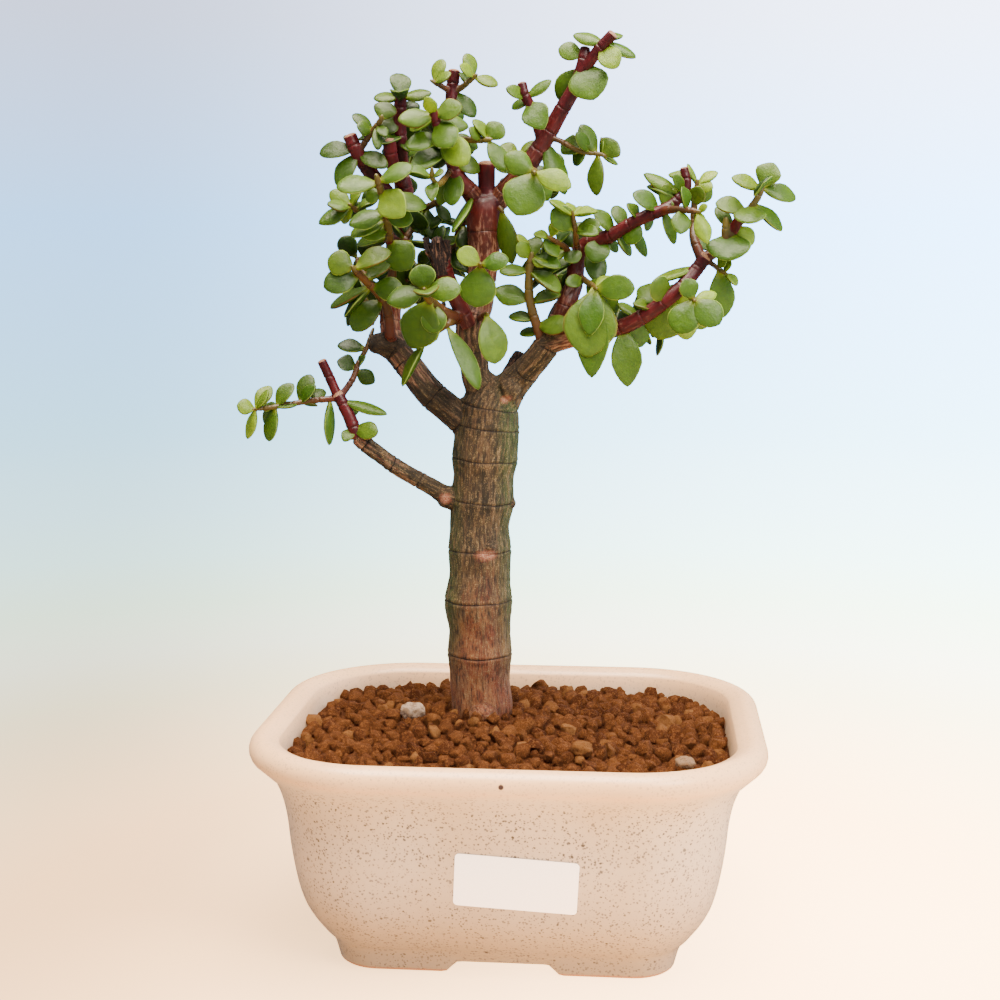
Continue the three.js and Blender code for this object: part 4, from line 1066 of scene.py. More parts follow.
# %% Rings and growth
TRUNK_RINGS = [106, 127, 147, 166, 182, 195, 203]
LIMB_RINGS = {
    "low_left": [[-26, 7, 168], [-36, 3, 174], [-46, 0, 181], [-56, -2, 189]],
    "left": [[-21, 9, 198], [-31, 8, 206], [-42, 8, 219]],
    "left_broken_end": [[-48, 8, 225]],
    "middle": [[-13, 9, 211], [-16, 8, 223], [-16, 9, 237], [-13, 9, 250], [-12, 9, 268]],
    "right": [[-2, 10, 210], [4, 8, 216], [12, 6, 226]],
}
# How young the wood is, from 0 for old bark to 1 for a shoot of this year, by limb.
YOUTH = {
    "middle": (0.15, 0.85), "middle_stub": (0.9, 1.0), "middle_left": (0.8, 1.0),
    "middle_right": (0.75, 0.9), "right_inner": (0.3, 0.7), "right_outer": (0.3, 0.75),
    "left_up": (0.3, 0.5), "right": (0.1, 0.3), "left": (0.15, 0.4), "low_left": (0.1, 0.4),
}
# How much painted shade darkens the bark of a limb that lies in the crown's shade, from 0 to 1.
SHADED_LIMBS = {
    "left": 0.5, "left_broken_end": 0.8, "left_up": 0.9, "middle": 0.1,
    "middle_left": 0.4, "dead_stub": 0.6,
}
# Where the bark is torn open to pale fibres: the middle, and how far it reaches.
SCARS = [
    ((-9.6, -2.2, 146.4), (5.2, 3.5, 2.4)), ((-2.8, 0.0, 205.6), (2.6, 4.0, 1.8)),
    ((-26.5, 1.5, 167.6), (2.6, 3.0, 2.4)),
]
DEAD_STUB = "dead_stub"


def smooth_route(route, steps=8):
    """Evenly dense rows of x, y, z, radius along a route."""
    return smooth_curve(route, steps) if len(route) > 2 else np.linspace(*np.array(route, float), 9)


def arc_lengths(points):
    steps = np.linalg.norm(np.diff(points, axis=0), axis=1)
    return np.concatenate([[0], np.cumsum(steps)])


def frames(points):
    """Directions along a route and two across it that never spin."""
    along = np.gradient(points, axis=0)
    along /= np.linalg.norm(along, axis=1)[:, None]
    across = np.zeros_like(along)
    side = np.array([0.0, -1.0, 0.0])
    for i, direction in enumerate(along):
        side = side - direction * side.dot(direction)
        side /= np.linalg.norm(side)
        across[i] = side
    return along, across, np.cross(along, across)


# %% [markdown]
# Geometry Nodes turn the routes into tubes. The input is a mesh of edges whose points carry a
# radius. It becomes a curve, and a circle of that radius runs along it.


# %% Tubes along routes
def tube_tree():
    tree, given, out = new_geometry_tree("tubes along routes", [
        ("Sides", "NodeSocketInt", 24),
        ("Material", "NodeSocketMaterial", None),
    ])
    curve = add(tree, "GeometryNodeMeshToCurve", {0: given["Geometry"]})
    circle = add(
        tree, "GeometryNodeCurvePrimitiveCircle", {"Resolution": given["Sides"], "Radius": 1.0}
    )
    tube = add(
        tree, "GeometryNodeCurveToMesh",
        {"Curve": curve.outputs[0], "Profile Curve": circle.outputs[0],
         "Scale": named(tree, "radius"), "Fill Caps": True},
    )
    return ended(tree, out, tube.outputs[0], given["Material"])


TUBES = tube_tree()
print("tubes:", len(TUBES.nodes), "nodes")


def routes_object(name, routes):
    """A mesh of edges along the routes, in metres, with the radius as an attribute."""
    points, edges, radii = [], [], []
    for route in routes:
        start = len(points)
        points += [row[:3] * MM for row in route]
        radii += [row[3] * MM for row in route]
        edges += [(start + i, start + i + 1) for i in range(len(route) - 1)]
    obj = mesh_object(name, points, [], edges)
    set_values(obj.data, "radius", radii)
    return obj


def rounded_end(route, share=0.55):
    """The route with its last point drawn in, so that the tube ends in a soft edge."""
    tip = route[-1].copy()
    direction = route[-1, :3] - route[-2, :3]
    direction /= np.linalg.norm(direction)
    rows = [route]
    for turn in (35, 62, 85):
        row = tip.copy()
        row[:3] += direction * share * tip[3] * math.sin(math.radians(turn))
        row[3] = tip[3] * max(math.cos(math.radians(turn)), 0.12)
        rows.append(row[None])
    return np.vstack(rows)


# %% [markdown]
# The tubes of the old wood are melted into one skin: a voxel remesh drops the hidden insides and
# a few rounds of smoothing turn the forks into soft crotches. Every point of the skin then
# learns from its nearest route how far along it lies, how young the wood is and whether a ring
# runs there.


# %% Melting tubes and reading the routes
def melted(obj, voxel_mm, rounds):
    remesh = obj.modifiers.new("one skin", "REMESH")
    remesh.mode = "VOXEL"
    remesh.voxel_size = voxel_mm * MM
    soften = obj.modifiers.new("soft", "SMOOTH")
    soften.factor = 0.5
    soften.iterations = rounds
    return applied(obj)


def points_of(mesh):
    flat = np.zeros(len(mesh.vertices) * 3, np.float32)
    mesh.vertices.foreach_get("co", flat)
    return flat.reshape(-1, 3).astype(float)


def nearest_samples(points, samples, radii, chunk=4000):
    """For each point, the sample whose tube surface lies nearest."""
    best = np.zeros(len(points), int)
    for start in range(0, len(points), chunk):
        some = points[start:start + chunk]
        gaps = np.linalg.norm(some[:, None] - samples[None], axis=2) - radii[None]
        best[start:start + chunk] = gaps.argmin(axis=1)
    return best


RING_REACH = 2.0
FAR_FROM_RINGS = 9.0
APART = 137.0  # lengths of different routes are this far apart, so that their grains differ
SAWN_EDGE = 0.5


def ring_gaps(rows, spots, along, turn, wave):
    """How far past the nearest ring points lie, from their lengths and turns along a route."""
    lengths = arc_lengths(rows[:, :3])
    gaps = np.full(len(along), FAR_FROM_RINGS)
    for spot in spots:
        ring_at = lengths[np.linalg.norm(rows[:, :3] - np.array(spot), axis=1).argmin()]
        drift = 0.6 * np.sin(2 * turn + 2.4 * ring_at) + 0.3 * np.sin(5 * turn + ring_at)
        gap = along - ring_at - wave * drift
        gaps = np.where(np.abs(gap) < np.abs(gaps), gap, gaps)
    return gaps


def read_routes(mesh, routes):
    """Marks the mesh from a list of described routes. Gives each point's route and length on it."""
    rows = np.vstack([route["rows"] for route in routes])
    ids = np.concatenate([np.full(len(r["rows"]), k) for k, r in enumerate(routes)])
    lengths = np.concatenate([arc_lengths(r["rows"][:, :3]) for r in routes])
    youth = np.concatenate([np.linspace(*r["youth"], len(r["rows"])) for r in routes])
    tangent, across, beside = map(np.vstack, zip(*[frames(r["rows"][:, :3]) for r in routes]))
    points = points_of(mesh) / MM
    near = nearest_samples(points, rows[:, :3], rows[:, 3])
    away = points - rows[near, :3]
    round_a = (away * across[near]).sum(1)
    round_b = (away * beside[near]).sum(1)
    along = lengths[near] + (away * tangent[near]).sum(1)
    turn = np.arctan2(round_b, round_a)
    owner = ids[near]
    gap = np.zeros(len(points))
    cut = np.zeros(len(points))
    for k, route in enumerate(routes):
        mine = owner == k
        spots = route.get("rings", ())
        gap[mine] = ring_gaps(route["rows"], spots, along[mine], turn[mine], route["wave"])
        if route.get("cut"):
            past_end = along[mine] - arc_lengths(route["rows"][:, :3])[-1]
            cut[mine] = np.clip(past_end / SAWN_EDGE + 0.5, 0, 1)
    grain = np.column_stack([round_a, round_b, along + APART * owner])
    set_values(mesh, "grain", grain, "FLOAT_VECTOR")
    set_values(mesh, "youth", youth[near])
    set_values(mesh, "ring_gap", gap)
    set_values(mesh, "ring", np.clip(1 - np.abs(gap) / RING_REACH, 0, 1))
    set_values(mesh, "cut", cut)
    return owner, along


# %% [markdown]
# The relief is a second graph. It moves each point along its normal: out where a stretched noise
# makes a fibre or a wart, and in at a ring. Young wood stays smooth.


# %% Relief of the bark
def relief_tree():
    tree, given, out = new_geometry_tree("bark relief", [
        ("Depth", "NodeSocketFloat", 0.8 * MM),
        ("Ring Depth", "NodeSocketFloat", 0.42 * MM),
    ])
    grain = named(tree, "grain", "FLOAT_VECTOR")
    fibres = noise_node(tree, stretched(tree, grain, 1.0, 1.0, 0.2), 0.75, 4, 0.65)
    warts = noise_node(tree, stretched(tree, grain, 1.0, 1.0, 0.8), 0.22, 3, 0.55)
    rough = math_node(tree, "SUBTRACT", plus(tree, fibres, warts), 1.0)
    old = ramp(tree, named(tree, "youth"), 0.05, 0.6, 1.0, 0.18)
    height = times(tree, times(tree, rough, old), given["Depth"])
    ring = named(tree, "ring")
    groove = ramp(tree, ring, 0.65, 1.0)
    shoulder = ramp(tree, ring, 0.0, 0.6, 0.0, 0.45)
    drop = math_node(tree, "SUBTRACT", groove, shoulder)
    drop = times(tree, drop, given["Ring Depth"])
    height = math_node(tree, "SUBTRACT", height, drop)
    normal = add(tree, "GeometryNodeInputNormal").outputs[0]
    push = vector_math(tree, "SCALE", {0: normal, "Scale": height})[0]
    inputs = {"Geometry": given["Geometry"], "Offset": push}
    moved = add(tree, "GeometryNodeSetPosition", inputs)
    tree.links.new(moved.outputs[0], out.inputs[0])
    return tree


RELIEF = relief_tree()
print("relief:", len(RELIEF.nodes), "nodes")

# %% [markdown]
# Bark and shoots share one material. The youth mark blends old bark into the glossy maroon of a
# new shoot, the cut mark paints sawn ends, and the grain mark stretches every streak along its
# own limb.


# %% The bark
def bark_material():
    material, tree, shader = new_material("ringed bark", Specular_IOR_Level=0.3)
    at = in_millimetres(tree)
    height = height_of(tree, at)
    grain = attribute(tree, "grain", "Vector")
    youth, gap, painted_shade = (attribute(tree, name) for name in ("youth", "ring_gap", "painted_shade"))
    cut, dead, green = (attribute(tree, name) for name in ("cut", "dead", "green"))
    fibre = noise_node(tree, stretched(tree, grain, 1.0, 1.0, 0.2), 1.15, 5, 0.75)
    streak = noise_node(tree, stretched(tree, grain, 1.0, 1.0, 0.1), 0.6, 3, 0.6)
    blotch = noise_node(tree, stretched(tree, grain, 1.0, 1.0, 0.6), 0.16, 3, 0.6)
    crumb = noise_node(tree, at, 2.4, 4, 0.75)
    patches = ramp(tree, blotch, 0.35, 0.65)

    # Old bark: olive brown with tan fibres and dark fissures, whose dark is partly painted shade in
    # the grooves; rusty towards the soil and mossy at the trunk's sides.
    olive = mix(tree, patches, colour(34, 25, 8), colour(54, 38, 16))
    rust = mix(tree, patches, colour(88, 38, 12), colour(112, 66, 32))
    level = plus(tree, height, ramp(tree, streak, 0.3, 0.7, -14, 14))
    bark = mix(tree, ramp(tree, level, 106, 146, 1.0, 0.0), olive, rust)
    moss = times(tree, ramp(tree, crumb, 0.3, 0.46), green)
    bark = mix(tree, moss, bark, colour(40, 52, 10))
    bark = mix(tree, ramp(tree, streak, 0.5, 0.62, 0.0, 0.5), bark, colour(94, 65, 38))
    # Dark fissures where the fibre relief sinks: partly the bark's own colour, partly painted shade.
    bark = mix(tree, ramp(tree, fibre, 0.38, 0.5, 0.85, 0.0), bark, colour(26, 17, 7))
    pale = plus(tree, fibre, crumb)
    pale = ramp(tree, pale, 1.04, 1.2, 0.0, 0.7)
    bark = mix(tree, pale, bark, colour(129, 101, 65))
    # Painted shade darkens the limbs in the crown's shade.
    bark = mix(tree, times(tree, painted_shade, 0.85), bark, colour(30, 17, 8))

    # Half-young wood is red brown and splits in pale streaks, shoots are a deep glossy wine.
    split = plus(tree, fibre, ramp(tree, youth, 0.6, 1.0, 0.04, -0.2))
    red = mix(tree, patches, colour(52, 18, 9), colour(72, 30, 16))
    red = mix(tree, ramp(tree, split, 0.49, 0.6, 0.0, 0.75), red, colour(131, 93, 70))
    wine = mix(tree, patches, colour(44, 4, 7), colour(66, 9, 12))
    wine = mix(tree, ramp(tree, split, 0.45, 0.56, 0.0, 0.35), wine, colour(120, 72, 62))
    wine = mix(tree, green, wine, colour(70, 62, 20))
    shoot = mix(tree, ramp(tree, youth, 0.66, 0.88), red, wine)
    turn = plus(tree, youth, ramp(tree, streak, 0.3, 0.7, -0.16, 0.16))
    turn = ramp(tree, turn, 0.28, 0.58)
    tone = mix(tree, turn, bark, shoot)

    # A ring is a dark crack, fainter on young wood.
    near = math_node(tree, "ABSOLUTE", gap)
    crack = ramp(tree, near, 0.08, 0.34, 1.0, 0.0)
    broken = ramp(tree, streak, 0.3, 0.5, 0.35, 0.9)
    crack = times(tree, crack, broken)
    crack = times(tree, crack, ramp(tree, youth, 0.3, 0.9, 1.0, 0.3))
    tone = mix(tree, crack, tone, colour(22, 11, 6))
    for middle, reach in SCARS:
        offset = vector_math(tree, "SUBTRACT", {0: at, 1: middle})[0]
        shares = stretched(tree, offset, *(1 / r for r in reach))
        far = vector_math(tree, "LENGTH", {0: shares})["Value"]
        ragged = plus(tree, far, ramp(tree, crumb, 0.3, 0.7, -0.45, 0.45))
        torn = mix(tree, ramp(tree, crumb, 0.4, 0.6), colour(108, 42, 22), colour(158, 112, 86))
        tone = mix(tree, ramp(tree, ragged, 0.7, 1.0, 0.8, 0.0), tone, torn)
    withered = mix(tree, ramp(tree, fibre, 0.5, 0.66), colour(19, 8, 6), colour(98, 68, 50))
    tone = mix(tree, dead, tone, withered)
    sawn = mix(tree, ramp(tree, crumb, 0.35, 0.65), colour(97, 58, 40), colour(129, 97, 74))
    tone = mix(tree, ramp(tree, cut, 0.45, 0.6), tone, sawn)
    dry = math_node(tree, "MAXIMUM", dead, ramp(tree, cut, 0.4, 0.6))
    shine = math_node(tree, "MAXIMUM", ramp(tree, turn, 0.0, 1.0, 0.68, 0.36), dry)
    relief = bump(tree, math_node(tree, "SUBTRACT", 1.0, crack), 0.3, 0.8)
    depth = ramp(tree, turn, 0.0, 1.0, 1.0, 0.14)
    for height_field, distance in ((fibre, 0.9), (crumb, 0.3)):
        relief = bump(tree, height_field, distance, depth, relief)
    return wired(material, tree, shader, tone, relief, shine)


# %% The old wood
MOSS_ASIDE = (5.4, 11.4)  # how far to either side the moss starts and is full
MOSS_HEIGHT = (92.0, 118.0)  # and how high
SAWN_LIMB = "middle_stub"
WOOD_SIDES = 24
WOOD_VOXEL = 0.6
bark = bark_material()


def described_wood():
    trunk_rings = [[*TRUNK_FOOT, z] for z in TRUNK_RINGS]
    wood = [{"rows": smooth_route(TRUNK), "youth": (0, 0), "rings": trunk_rings, "wave": 0.4}]
    for name, route in LIMBS.items():
        rows = smooth_route(route)
        wood.append({
            "rows": rows, "youth": YOUTH.get(name, (0, 0)), "rings": LIMB_RINGS.get(name, ()),
            "wave": 0.35, "name": name, "cut": name == SAWN_LIMB,
        })
    for route in KNOBS.values():
        wood.append({"rows": smooth_route(route), "youth": (0, 0), "wave": 0.0})
    return wood


def build_trunk():
    wood = described_wood()
    tubes = routes_object("bonsai_wood", [rounded_end(r["rows"], 0.4) for r in wood])
    run_tree(tubes, TUBES, sides=WOOD_SIDES, material=bark)
    melted(tubes, WOOD_VOXEL, 6)
    owner, _ = read_routes(tubes.data, wood)
    names = [route.get("name") for route in wood]
    set_values(tubes.data, "dead", [names[k] == DEAD_STUB for k in owner])
    set_values(tubes.data, "painted_shade", [SHADED_LIMBS.get(names[k], 0.0) for k in owner])
    points = points_of(tubes.data) / MM
    edge = share_of(np.abs(points[:, 0] - TRUNK_FOOT[0]), *MOSS_ASIDE)
    above = share_of(points[:, 2], *MOSS_HEIGHT)
    set_values(tubes.data, "green", edge * above * (owner == 0))
    run_tree(tubes, RELIEF)
    return smooth(tubes)


place(covered(build_trunk(), bark), "bark", "trunk")

# %% [markdown]
# ## The shoots and their leaves
#
# Each spray is a list of shoots. A shoot has a route, a girth (its radius at either end) and
# leaves. A leaf that can be seen one by one is a row: how far along the shoot it sits, from 0 to
# 1, the way from its base to its tip in x, y and z, its width, and how far its face is rolled
# away from the front, in degrees. The shoots that stand behind only say how many pairs of leaves
# they bear, and how long those are.

# %% The shoots
def shoot(route, girth, leaves=(), pairs=0, leaf_length=0.0):
    return {
        "route": np.array(route, float), "girth": girth, "leaves": leaves, "pairs": pairs,
        "leaf_length": leaf_length,
    }


SPRAYS = {
    "low_left": [
        shoot([[-59, -3, 191], [-62, -3, 199], [-64, -3, 203], [-66, -3, 207]], (2.6, 2.2), [
            [0.23, 9, -8, 0, 7, -30], [0.23, -3, -5, -4, 5, 20], [0.89, 18, -4, -3, 5, -50],
            [0.73, 5, 7, -2, 5, -10],
        ]),
        shoot([[-66, -3, 206], [-69, -3, 213], [-72, -4, 220]], (1.9, 1.8)),
        shoot([[-66, -3, 206], [-77, -5, 205], [-89, -8, 203], [-98, -10, 202]], (1.3, 0.8), [
            [0.09, 2, -3, -17, 6, -70], [0.29, 2, 6, 5, 6, -10], [0.45, 3, 2, 11, 7, -20],
            [0.45, 6, -3, 7, 5, -35], [0.45, -8, -3, 0, 5, 70], [0.41, 5, 4, -1, 5, -75],
            [0.72, 6, 1, 9, 6, -25], [0.73, -4, 0, -13, 6, 30], [0.72, -7, 5, 1, 5, 40],
            [0.73, -6, 4, -7, 5, 20], [0.98, 5, 4, 9, 6, -10], [0.95, -6, -3, 2, 6, 30],
            [0.97, 4, -2, 8, 5, -60], [1, -5, 0, -11, 5, 30],
        ]),
        shoot([[-65, -3, 207], [-61, -1, 213], [-59, 1, 219], [-56, 3, 225], [-54, 6, 232]], (1.3, 0.9), [
            [0.39, 7, 2, -5, 6, -10], [0.42, -7, -2, 3, 7, 35], [0.45, 3, -2, 4, 4, -50],
            [0.71, -11, -1, 2, 6, 40], [0.8, 3, 3, 6, 5, -20],
        ]),
    ],
    "left_front": [
        shoot([
            [-47, 7, 226], [-47, 2, 230], [-47, 0, 235], [-48, -4, 242], [-52, -10, 248], [-55, -17, 252],
            [-57, -21, 255],
        ], (2.4, 1.2), [
            [1, -9, -2, 4, 9, 15], [0.98, 13, 0, 7, 9, -45], [0.87, -12, -6, -4, 9, 10],
            [0.79, 8, 6, 7, 7, -40], [0.68, 12, -4, -1, 9, -20], [0.69, -17, 4, -7, 6, 60],
            [0.69, -12, 4, -11, 5, 60], [0.5, -11, -4, -11, 10, 20],
        ]),
        shoot([
            [-47, 0, 236], [-47, 7, 246], [-47, 7, 257], [-46, -4, 266], [-46, -12, 274], [-46, -21, 281],
            [-47, -26, 287],
        ], (2.0, 1.3), [
            [0.95, -15, -2, 0, 9, 45], [0.96, 12, -2, 6, 8, -35], [0.9, 9, -8, -9, 11, 0],
            [0.89, -6, 0, -2, 6, 20], [0.85, 16, 2, -2, 9, -40], [0.73, -13, -4, -3, 9, 35],
            [0.71, 10, -4, -2, 7, -10], [0.67, -14, -1, -4, 7, 40], [0.61, -8, -5, -3, 7, 20],
            [0.56, -14, 6, -2, 6, 40], [0.52, 8, -6, -10, 12, 0], [0.34, -8, 4, -5, 8, 30],
            [0.3, 7, 8, -6, 8, -20],
        ]),
        shoot([[-46, -3, 264], [-54, 3, 270], [-58, 0, 275], [-61, -4, 278]], (1.3, 1.0), [
            [0.97, -12, -4, -5, 7, 30], [1, -8, 0, 6, 6, 20], [1, -7, -6, 2, 7, 60],
            [1, 3, -1, 7, 6, -50], [0.93, -5, 3, -6, 5, 20], [0.85, 7, -1, 4, 5, -60],
        ]),
    ],
    "centre_low": [
        shoot([[-17, 3, 233], [-21, 0, 242], [-25, -2, 251], [-27, -4, 257]], (3.0, 3.5)),
        shoot([[-27, -4, 256], [-28, -5, 264]], (3.6, 2.6)),
        shoot([
            [-19, 2, 237], [-23, -4, 237], [-28, -10, 241], [-30, -19, 244], [-30, -27, 247],
        ], (2.2, 1.3), [
            [0.97, -13, -4, -3, 9, 25], [0.97, 13, -3, 1, 9, -20], [1, -1, -2, 9, 9, 10],
            [1, 3, -14, 0, 9, -80], [0.5, 0, -5, -10, 9, -5], [0.65, -8, 2, -18, 15, 5],
        ]),
        shoot([
            [-19, 2, 236], [-22, 0, 235], [-24, -7, 234], [-30, -4, 230], [-34, -7, 227],
        ], (1.8, 0.9), [
            [0.47, 13, -6, -23, 7, -35], [1, -9, -4, -16, 5, 55],
        ]),
    ],
    "left_crown": [
        shoot([
            [-48, 11, 229], [-49, 16, 238], [-48, 22, 250], [-47, 24, 261], [-45, 24, 270],
            [-44, 23, 281], [-45, 22, 289],
        ], (4.2, 3.4)),
        shoot([[-45, 22, 287], [-45, 19, 299], [-45, 17, 310], [-44, 15, 320]], (3.0, 2.3), [
            [1, -10, -2, 1, 6, 45], [1, 11, -2, 3, 6, -45], [1, 1, -12, 2, 7, -153],
            [1, -1, 4, 10, 8, 20], [0.79, 7, 2, 4, 7, -25], [0.72, -6, -5, -4, 7, 15],
            [0.54, -5, -12, -3, 7, 35], [0.47, 7, -6, -4, 6, -40],
        ]),
        shoot([
            [-44, 23, 275], [-51, 18, 284], [-57, 15, 292], [-61, 12, 299], [-63, 11, 304],
        ], (3.2, 2.6), [
            [0.86, -14, -1, -1, 7, 25], [0.87, -4, 4, 6, 5, 40], [0.82, -8, -4, -12, 8, 25],
            [0.82, 12, -7, -5, 7, -30], [0.66, 4, 6, -1, 6, -20],
        ]),
        shoot([
            [-60, 12, 298], [-57, 11, 302], [-54, 10, 306], [-51, 8, 309], [-50, 7, 311],
        ], (1.3, 1.0), [
            [0.59, -7, 0, 7, 6, 45], [0.56, -4, -5, 2, 6, 35], [0.39, -4, 4, 1, 5, 40],
            [0.75, 4, -4, -4, 4, -30], [0.7, 2, -5, -8, 4, -30], [0.89, 3, 2, 7, 9, -10],
        ]),
        shoot([[-44, 23, 285], [-47, 13, 293], [-48, 10, 302]], (2.7, 2.6)),
        shoot([[-45, 24, 272], [-39, 19, 276], [-31, 13, 279], [-27, 10, 282]], (1.6, 1.2), [
            [0.77, 6, -1, -6, 5, -40], [0.58, 4, -3, -12, 6, -40], [0.51, 1, -5, -10, 5, -50],
            [0.3, -3, -6, -7, 6, 30],
        ]),
        shoot([
            [-46, 24, 266], [-54, 38, 267], [-63, 49, 272], [-68, 58, 280],
        ], (1.6, 0.9), pairs=4, leaf_length=12),
        shoot([
            [-45, 23, 286], [-47, 38, 295], [-46, 49, 304], [-45, 56, 312],
        ], (1.6, 0.9), pairs=4, leaf_length=12),
        shoot([
            [-48, 19, 246], [-57, 28, 248], [-64, 40, 254], [-68, 47, 260],
        ], (1.6, 0.9), pairs=3, leaf_length=11),
        shoot([
            [-49, 18, 243], [-46, 28, 242], [-44, 42, 247], [-43, 51, 257],
        ], (1.6, 0.9), pairs=4, leaf_length=12),
    ],
    "centre_left": [
        shoot([
            [-15, 8, 280], [-17, 5, 283], [-21, 2, 288], [-24, 0, 297], [-27, -4, 304], [-29, -7, 311],
        ], (4.0, 1.6), [
            [1, -12, -6, -1, 8, 25], [1, 10, -4, 3, 8, -20], [1, -1, -10, 4, 5, 5],
            [0.95, -10, 1, -4, 6, 40], [0.91, 12, 1, -1, 7, -30], [0.9, 6, -8, -9, 10, 0],
            [0.77, 10, -9, -11, 10, 0], [0.71, 13, 4, -2, 7, -30], [0.75, -12, -6, -4, 8, 30],
            [0.69, -15, 5, -3, 6, 45], [0.6, -13, -8, -8, 9, 35], [0.52, 11, 1, -5, 7, -25],
            [0.38, -1, -9, -12, 8, 20], [0.42, -6, -2, -14, 7, 20], [0.07, -7, -6, -23, 7, 50],
        ]),
        shoot([[-25, 2, 297], [-24, 7, 309], [-24, 8, 318], [-23, 8, 327]], (2.5, 2.3), [
            [0.77, 9, -3, -9, 7, -25],
        ]),
        shoot([[-24, 8, 319], [-27, 5, 321], [-31, 2, 323]], (1.2, 0.9), [
            [1, 2, 1, 9, 6, -30], [1, 6, -4, 3, 5, -40],
        ]),
        shoot([[-24, 8, 319], [-20, 7, 321], [-17, 5, 323], [-14, 3, 325]], (1.3, 0.9), [
            [0.97, -2, 0, 9, 6, 35], [1, -4, -5, 4, 5, 50], [1, 9, 0, -2, 6, -40],
            [0.55, -2, 4, 5, 4, 40],
        ]),
        shoot([[-25, 2, 298], [-19, 0, 301], [-12, -2, 301], [-8, -4, 301]], (1.5, 1.1), [
            [0.98, -5, 1, 8, 5, 45], [1, 5, 0, 6, 8, -12], [0.97, 7, -3, -11, 7, -25],
            [0.78, -3, -5, 4, 5, 45],
        ]),
        shoot([[-23, 2, 292], [-26, -9, 285], [-28, -16, 286], [-28, -19, 290]], (1.1, 0.9), [
            [0.85, -10, -2, 3, 5, 62], [0.85, 4, -3, 2, 4, -62], [0.73, -1, -6, -7, 5, 15],
        ]),
        shoot([
            [-23, 2, 293], [-26, 22, 299], [-30, 35, 306], [-32, 47, 312],
        ], (1.5, 0.9), pairs=3, leaf_length=11),
    ],
    "centre_top": [
        shoot([
            [-7, 8, 279], [-4, 7, 283], [4, 3, 291], [11, 2, 301], [17, 0, 311], [22, -2, 319],
            [25, -4, 327], [26, -4, 333],
        ], (4.2, 1.9), [
            [0.92, 4, -7, -13, 14, 0], [0.89, -9, 5, -11, 10, 10], [0.96, -9, -1, 3, 7, 22],
            [0.45, 9, -4, -19, 9, -35], [0.01, 2, -5, -26, 10, -35],
        ]),
        shoot([[26, -4, 326], [31, -7, 332], [36, -9, 337]], (2.2, 2.0), [
            [0.72, -11, 1, 5, 6, 35], [0.78, 11, -3, -4, 5, -50], [0.59, 6, -6, -7, 8, -10],
            [0.85, 5, 5, 3, 4, -40],
        ]),
        shoot([[10, 2, 301], [7, 0, 311], [4, -2, 317], [3, -2, 321]], (2.0, 1.8), [
            [0.76, -6, -6, 3, 5, 30], [0.76, 8, -2, 7, 5, -40], [0.69, -7, 4, -1, 4, 35],
            [0.69, 6, -7, -10, 10, 0],
        ]),
        shoot([[12, 2, 301], [16, 0, 301], [24, 2, 297], [31, 2, 296], [34, 2, 295]], (1.1, 0.8), [
            [0.74, -4, -5, 7, 5, 35], [0.6, -8, 5, 4, 8, 10], [0.66, -5, 3, -4, 6, 30],
            [0.84, -5, -1, 11, 7, 30], [0.85, -1, -2, -15, 7, 30], [0.95, 0, 3, 7, 4, 70],
            [0.98, 5, -1, 5, 9, -12], [0.98, 6, 4, -2, 5, -60],
        ]),
        shoot([[4, 3, 291], [8, -10, 289], [9, -21, 288]], (1.7, 1.2), [
            [0.75, -10, -3, 6, 9, 12], [1, 13, -5, -5, 8, -18], [0.75, -6, -6, -15, 15, 0],
            [0.58, 6, 1, -10, 8, -20],
        ]),
        shoot([[-1, 8, 285], [0, 7, 292], [2, 3, 297]], (1.2, 0.9), [
            [1, 5, 0, 6, 5, -40], [0.99, -7, 0, 4, 6, 40], [0.41, -7, -3, 2, 6, 35],
            [0.19, -7, 2, -6, 7, 30],
        ]),
        shoot([
            [2, 3, 289], [4, 22, 288], [8, 35, 289], [12, 44, 291],
        ], (1.4, 0.9), pairs=3, leaf_length=10),
    ],
    "centre_front": [
        shoot([[-11, 7, 254], [-11, -9, 255], [-11, -16, 256]], (1.6, 1.1), [
            [1, -8, -2, 5, 7, 15], [1, 10, -3, 2, 7, -20], [0.86, -2, -2, -15, 13, 0],
        ]),
    ],
    "centre_lime": [
        shoot([[-13, 3, 236], [-9, -9, 238]], (1.3, 1.0), [
            [0.91, 4, -3, -18, 11, -30],
        ]),
    ],
    "upright": [
        shoot([[12, 2, 224], [9, 0, 232], [6, -2, 243], [6, -4, 254], [7, -5, 260]], (2.2, 1.3), [
            [0.99, -4, 0, 9, 5, 60], [0.95, -4, -4, 5, 6, 25], [1, 6, -4, -2, 5, -45],
            [1, 2, 3, 8, 7, -20], [0.96, 11, -3, -3, 7, -40], [0.83, -11, -1, 1, 6, 55],
            [0.83, 12, -4, -7, 7, -48], [0.53, -13, -1, 5, 9, 30], [0.51, 11, -1, 4, 6, -50],
            [0.34, -10, 1, 2, 6, 55], [0.28, 11, -9, 1, 8, -35], [0.17, -9, -2, -5, 5, 50],
            [0.2, -8, 4, 1, 5, 40],
        ]),
    ],
    "right_inner": [
        shoot([
            [17, 3, 236], [20, 3, 243], [22, 7, 249], [23, 8, 257], [26, 7, 263], [32, 3, 265],
            [37, 0, 267], [46, -4, 272], [54, -7, 275], [59, -7, 278], [63, -7, 283], [62, -7, 290],
        ], (3.9, 1.6), [
            [0.14, -12, 2, -11, 6, 45], [0.21, -12, 8, -5, 7, 35], [0.46, -3, -6, -8, 9, 5],
            [0.47, 2, -2, 3, 3, -30], [0.4, 3, -6, -14, 8, -10], [0.48, 5, 1, -5, 5, -40],
            [0.54, 6, -1, -8, 5, -45], [0.62, 7, -1, -11, 5, -45], [0.56, 7, -6, -2, 8, -10],
            [0.53, -7, -2, 9, 6, 35], [0.46, -3, 4, 6, 5, 40], [0.58, -3, 3, 9, 6, 30],
            [0.66, -4, -2, 6, 5, 50], [0.67, 3, 4, 5, 5, -40], [0.76, -9, -3, 7, 7, 32],
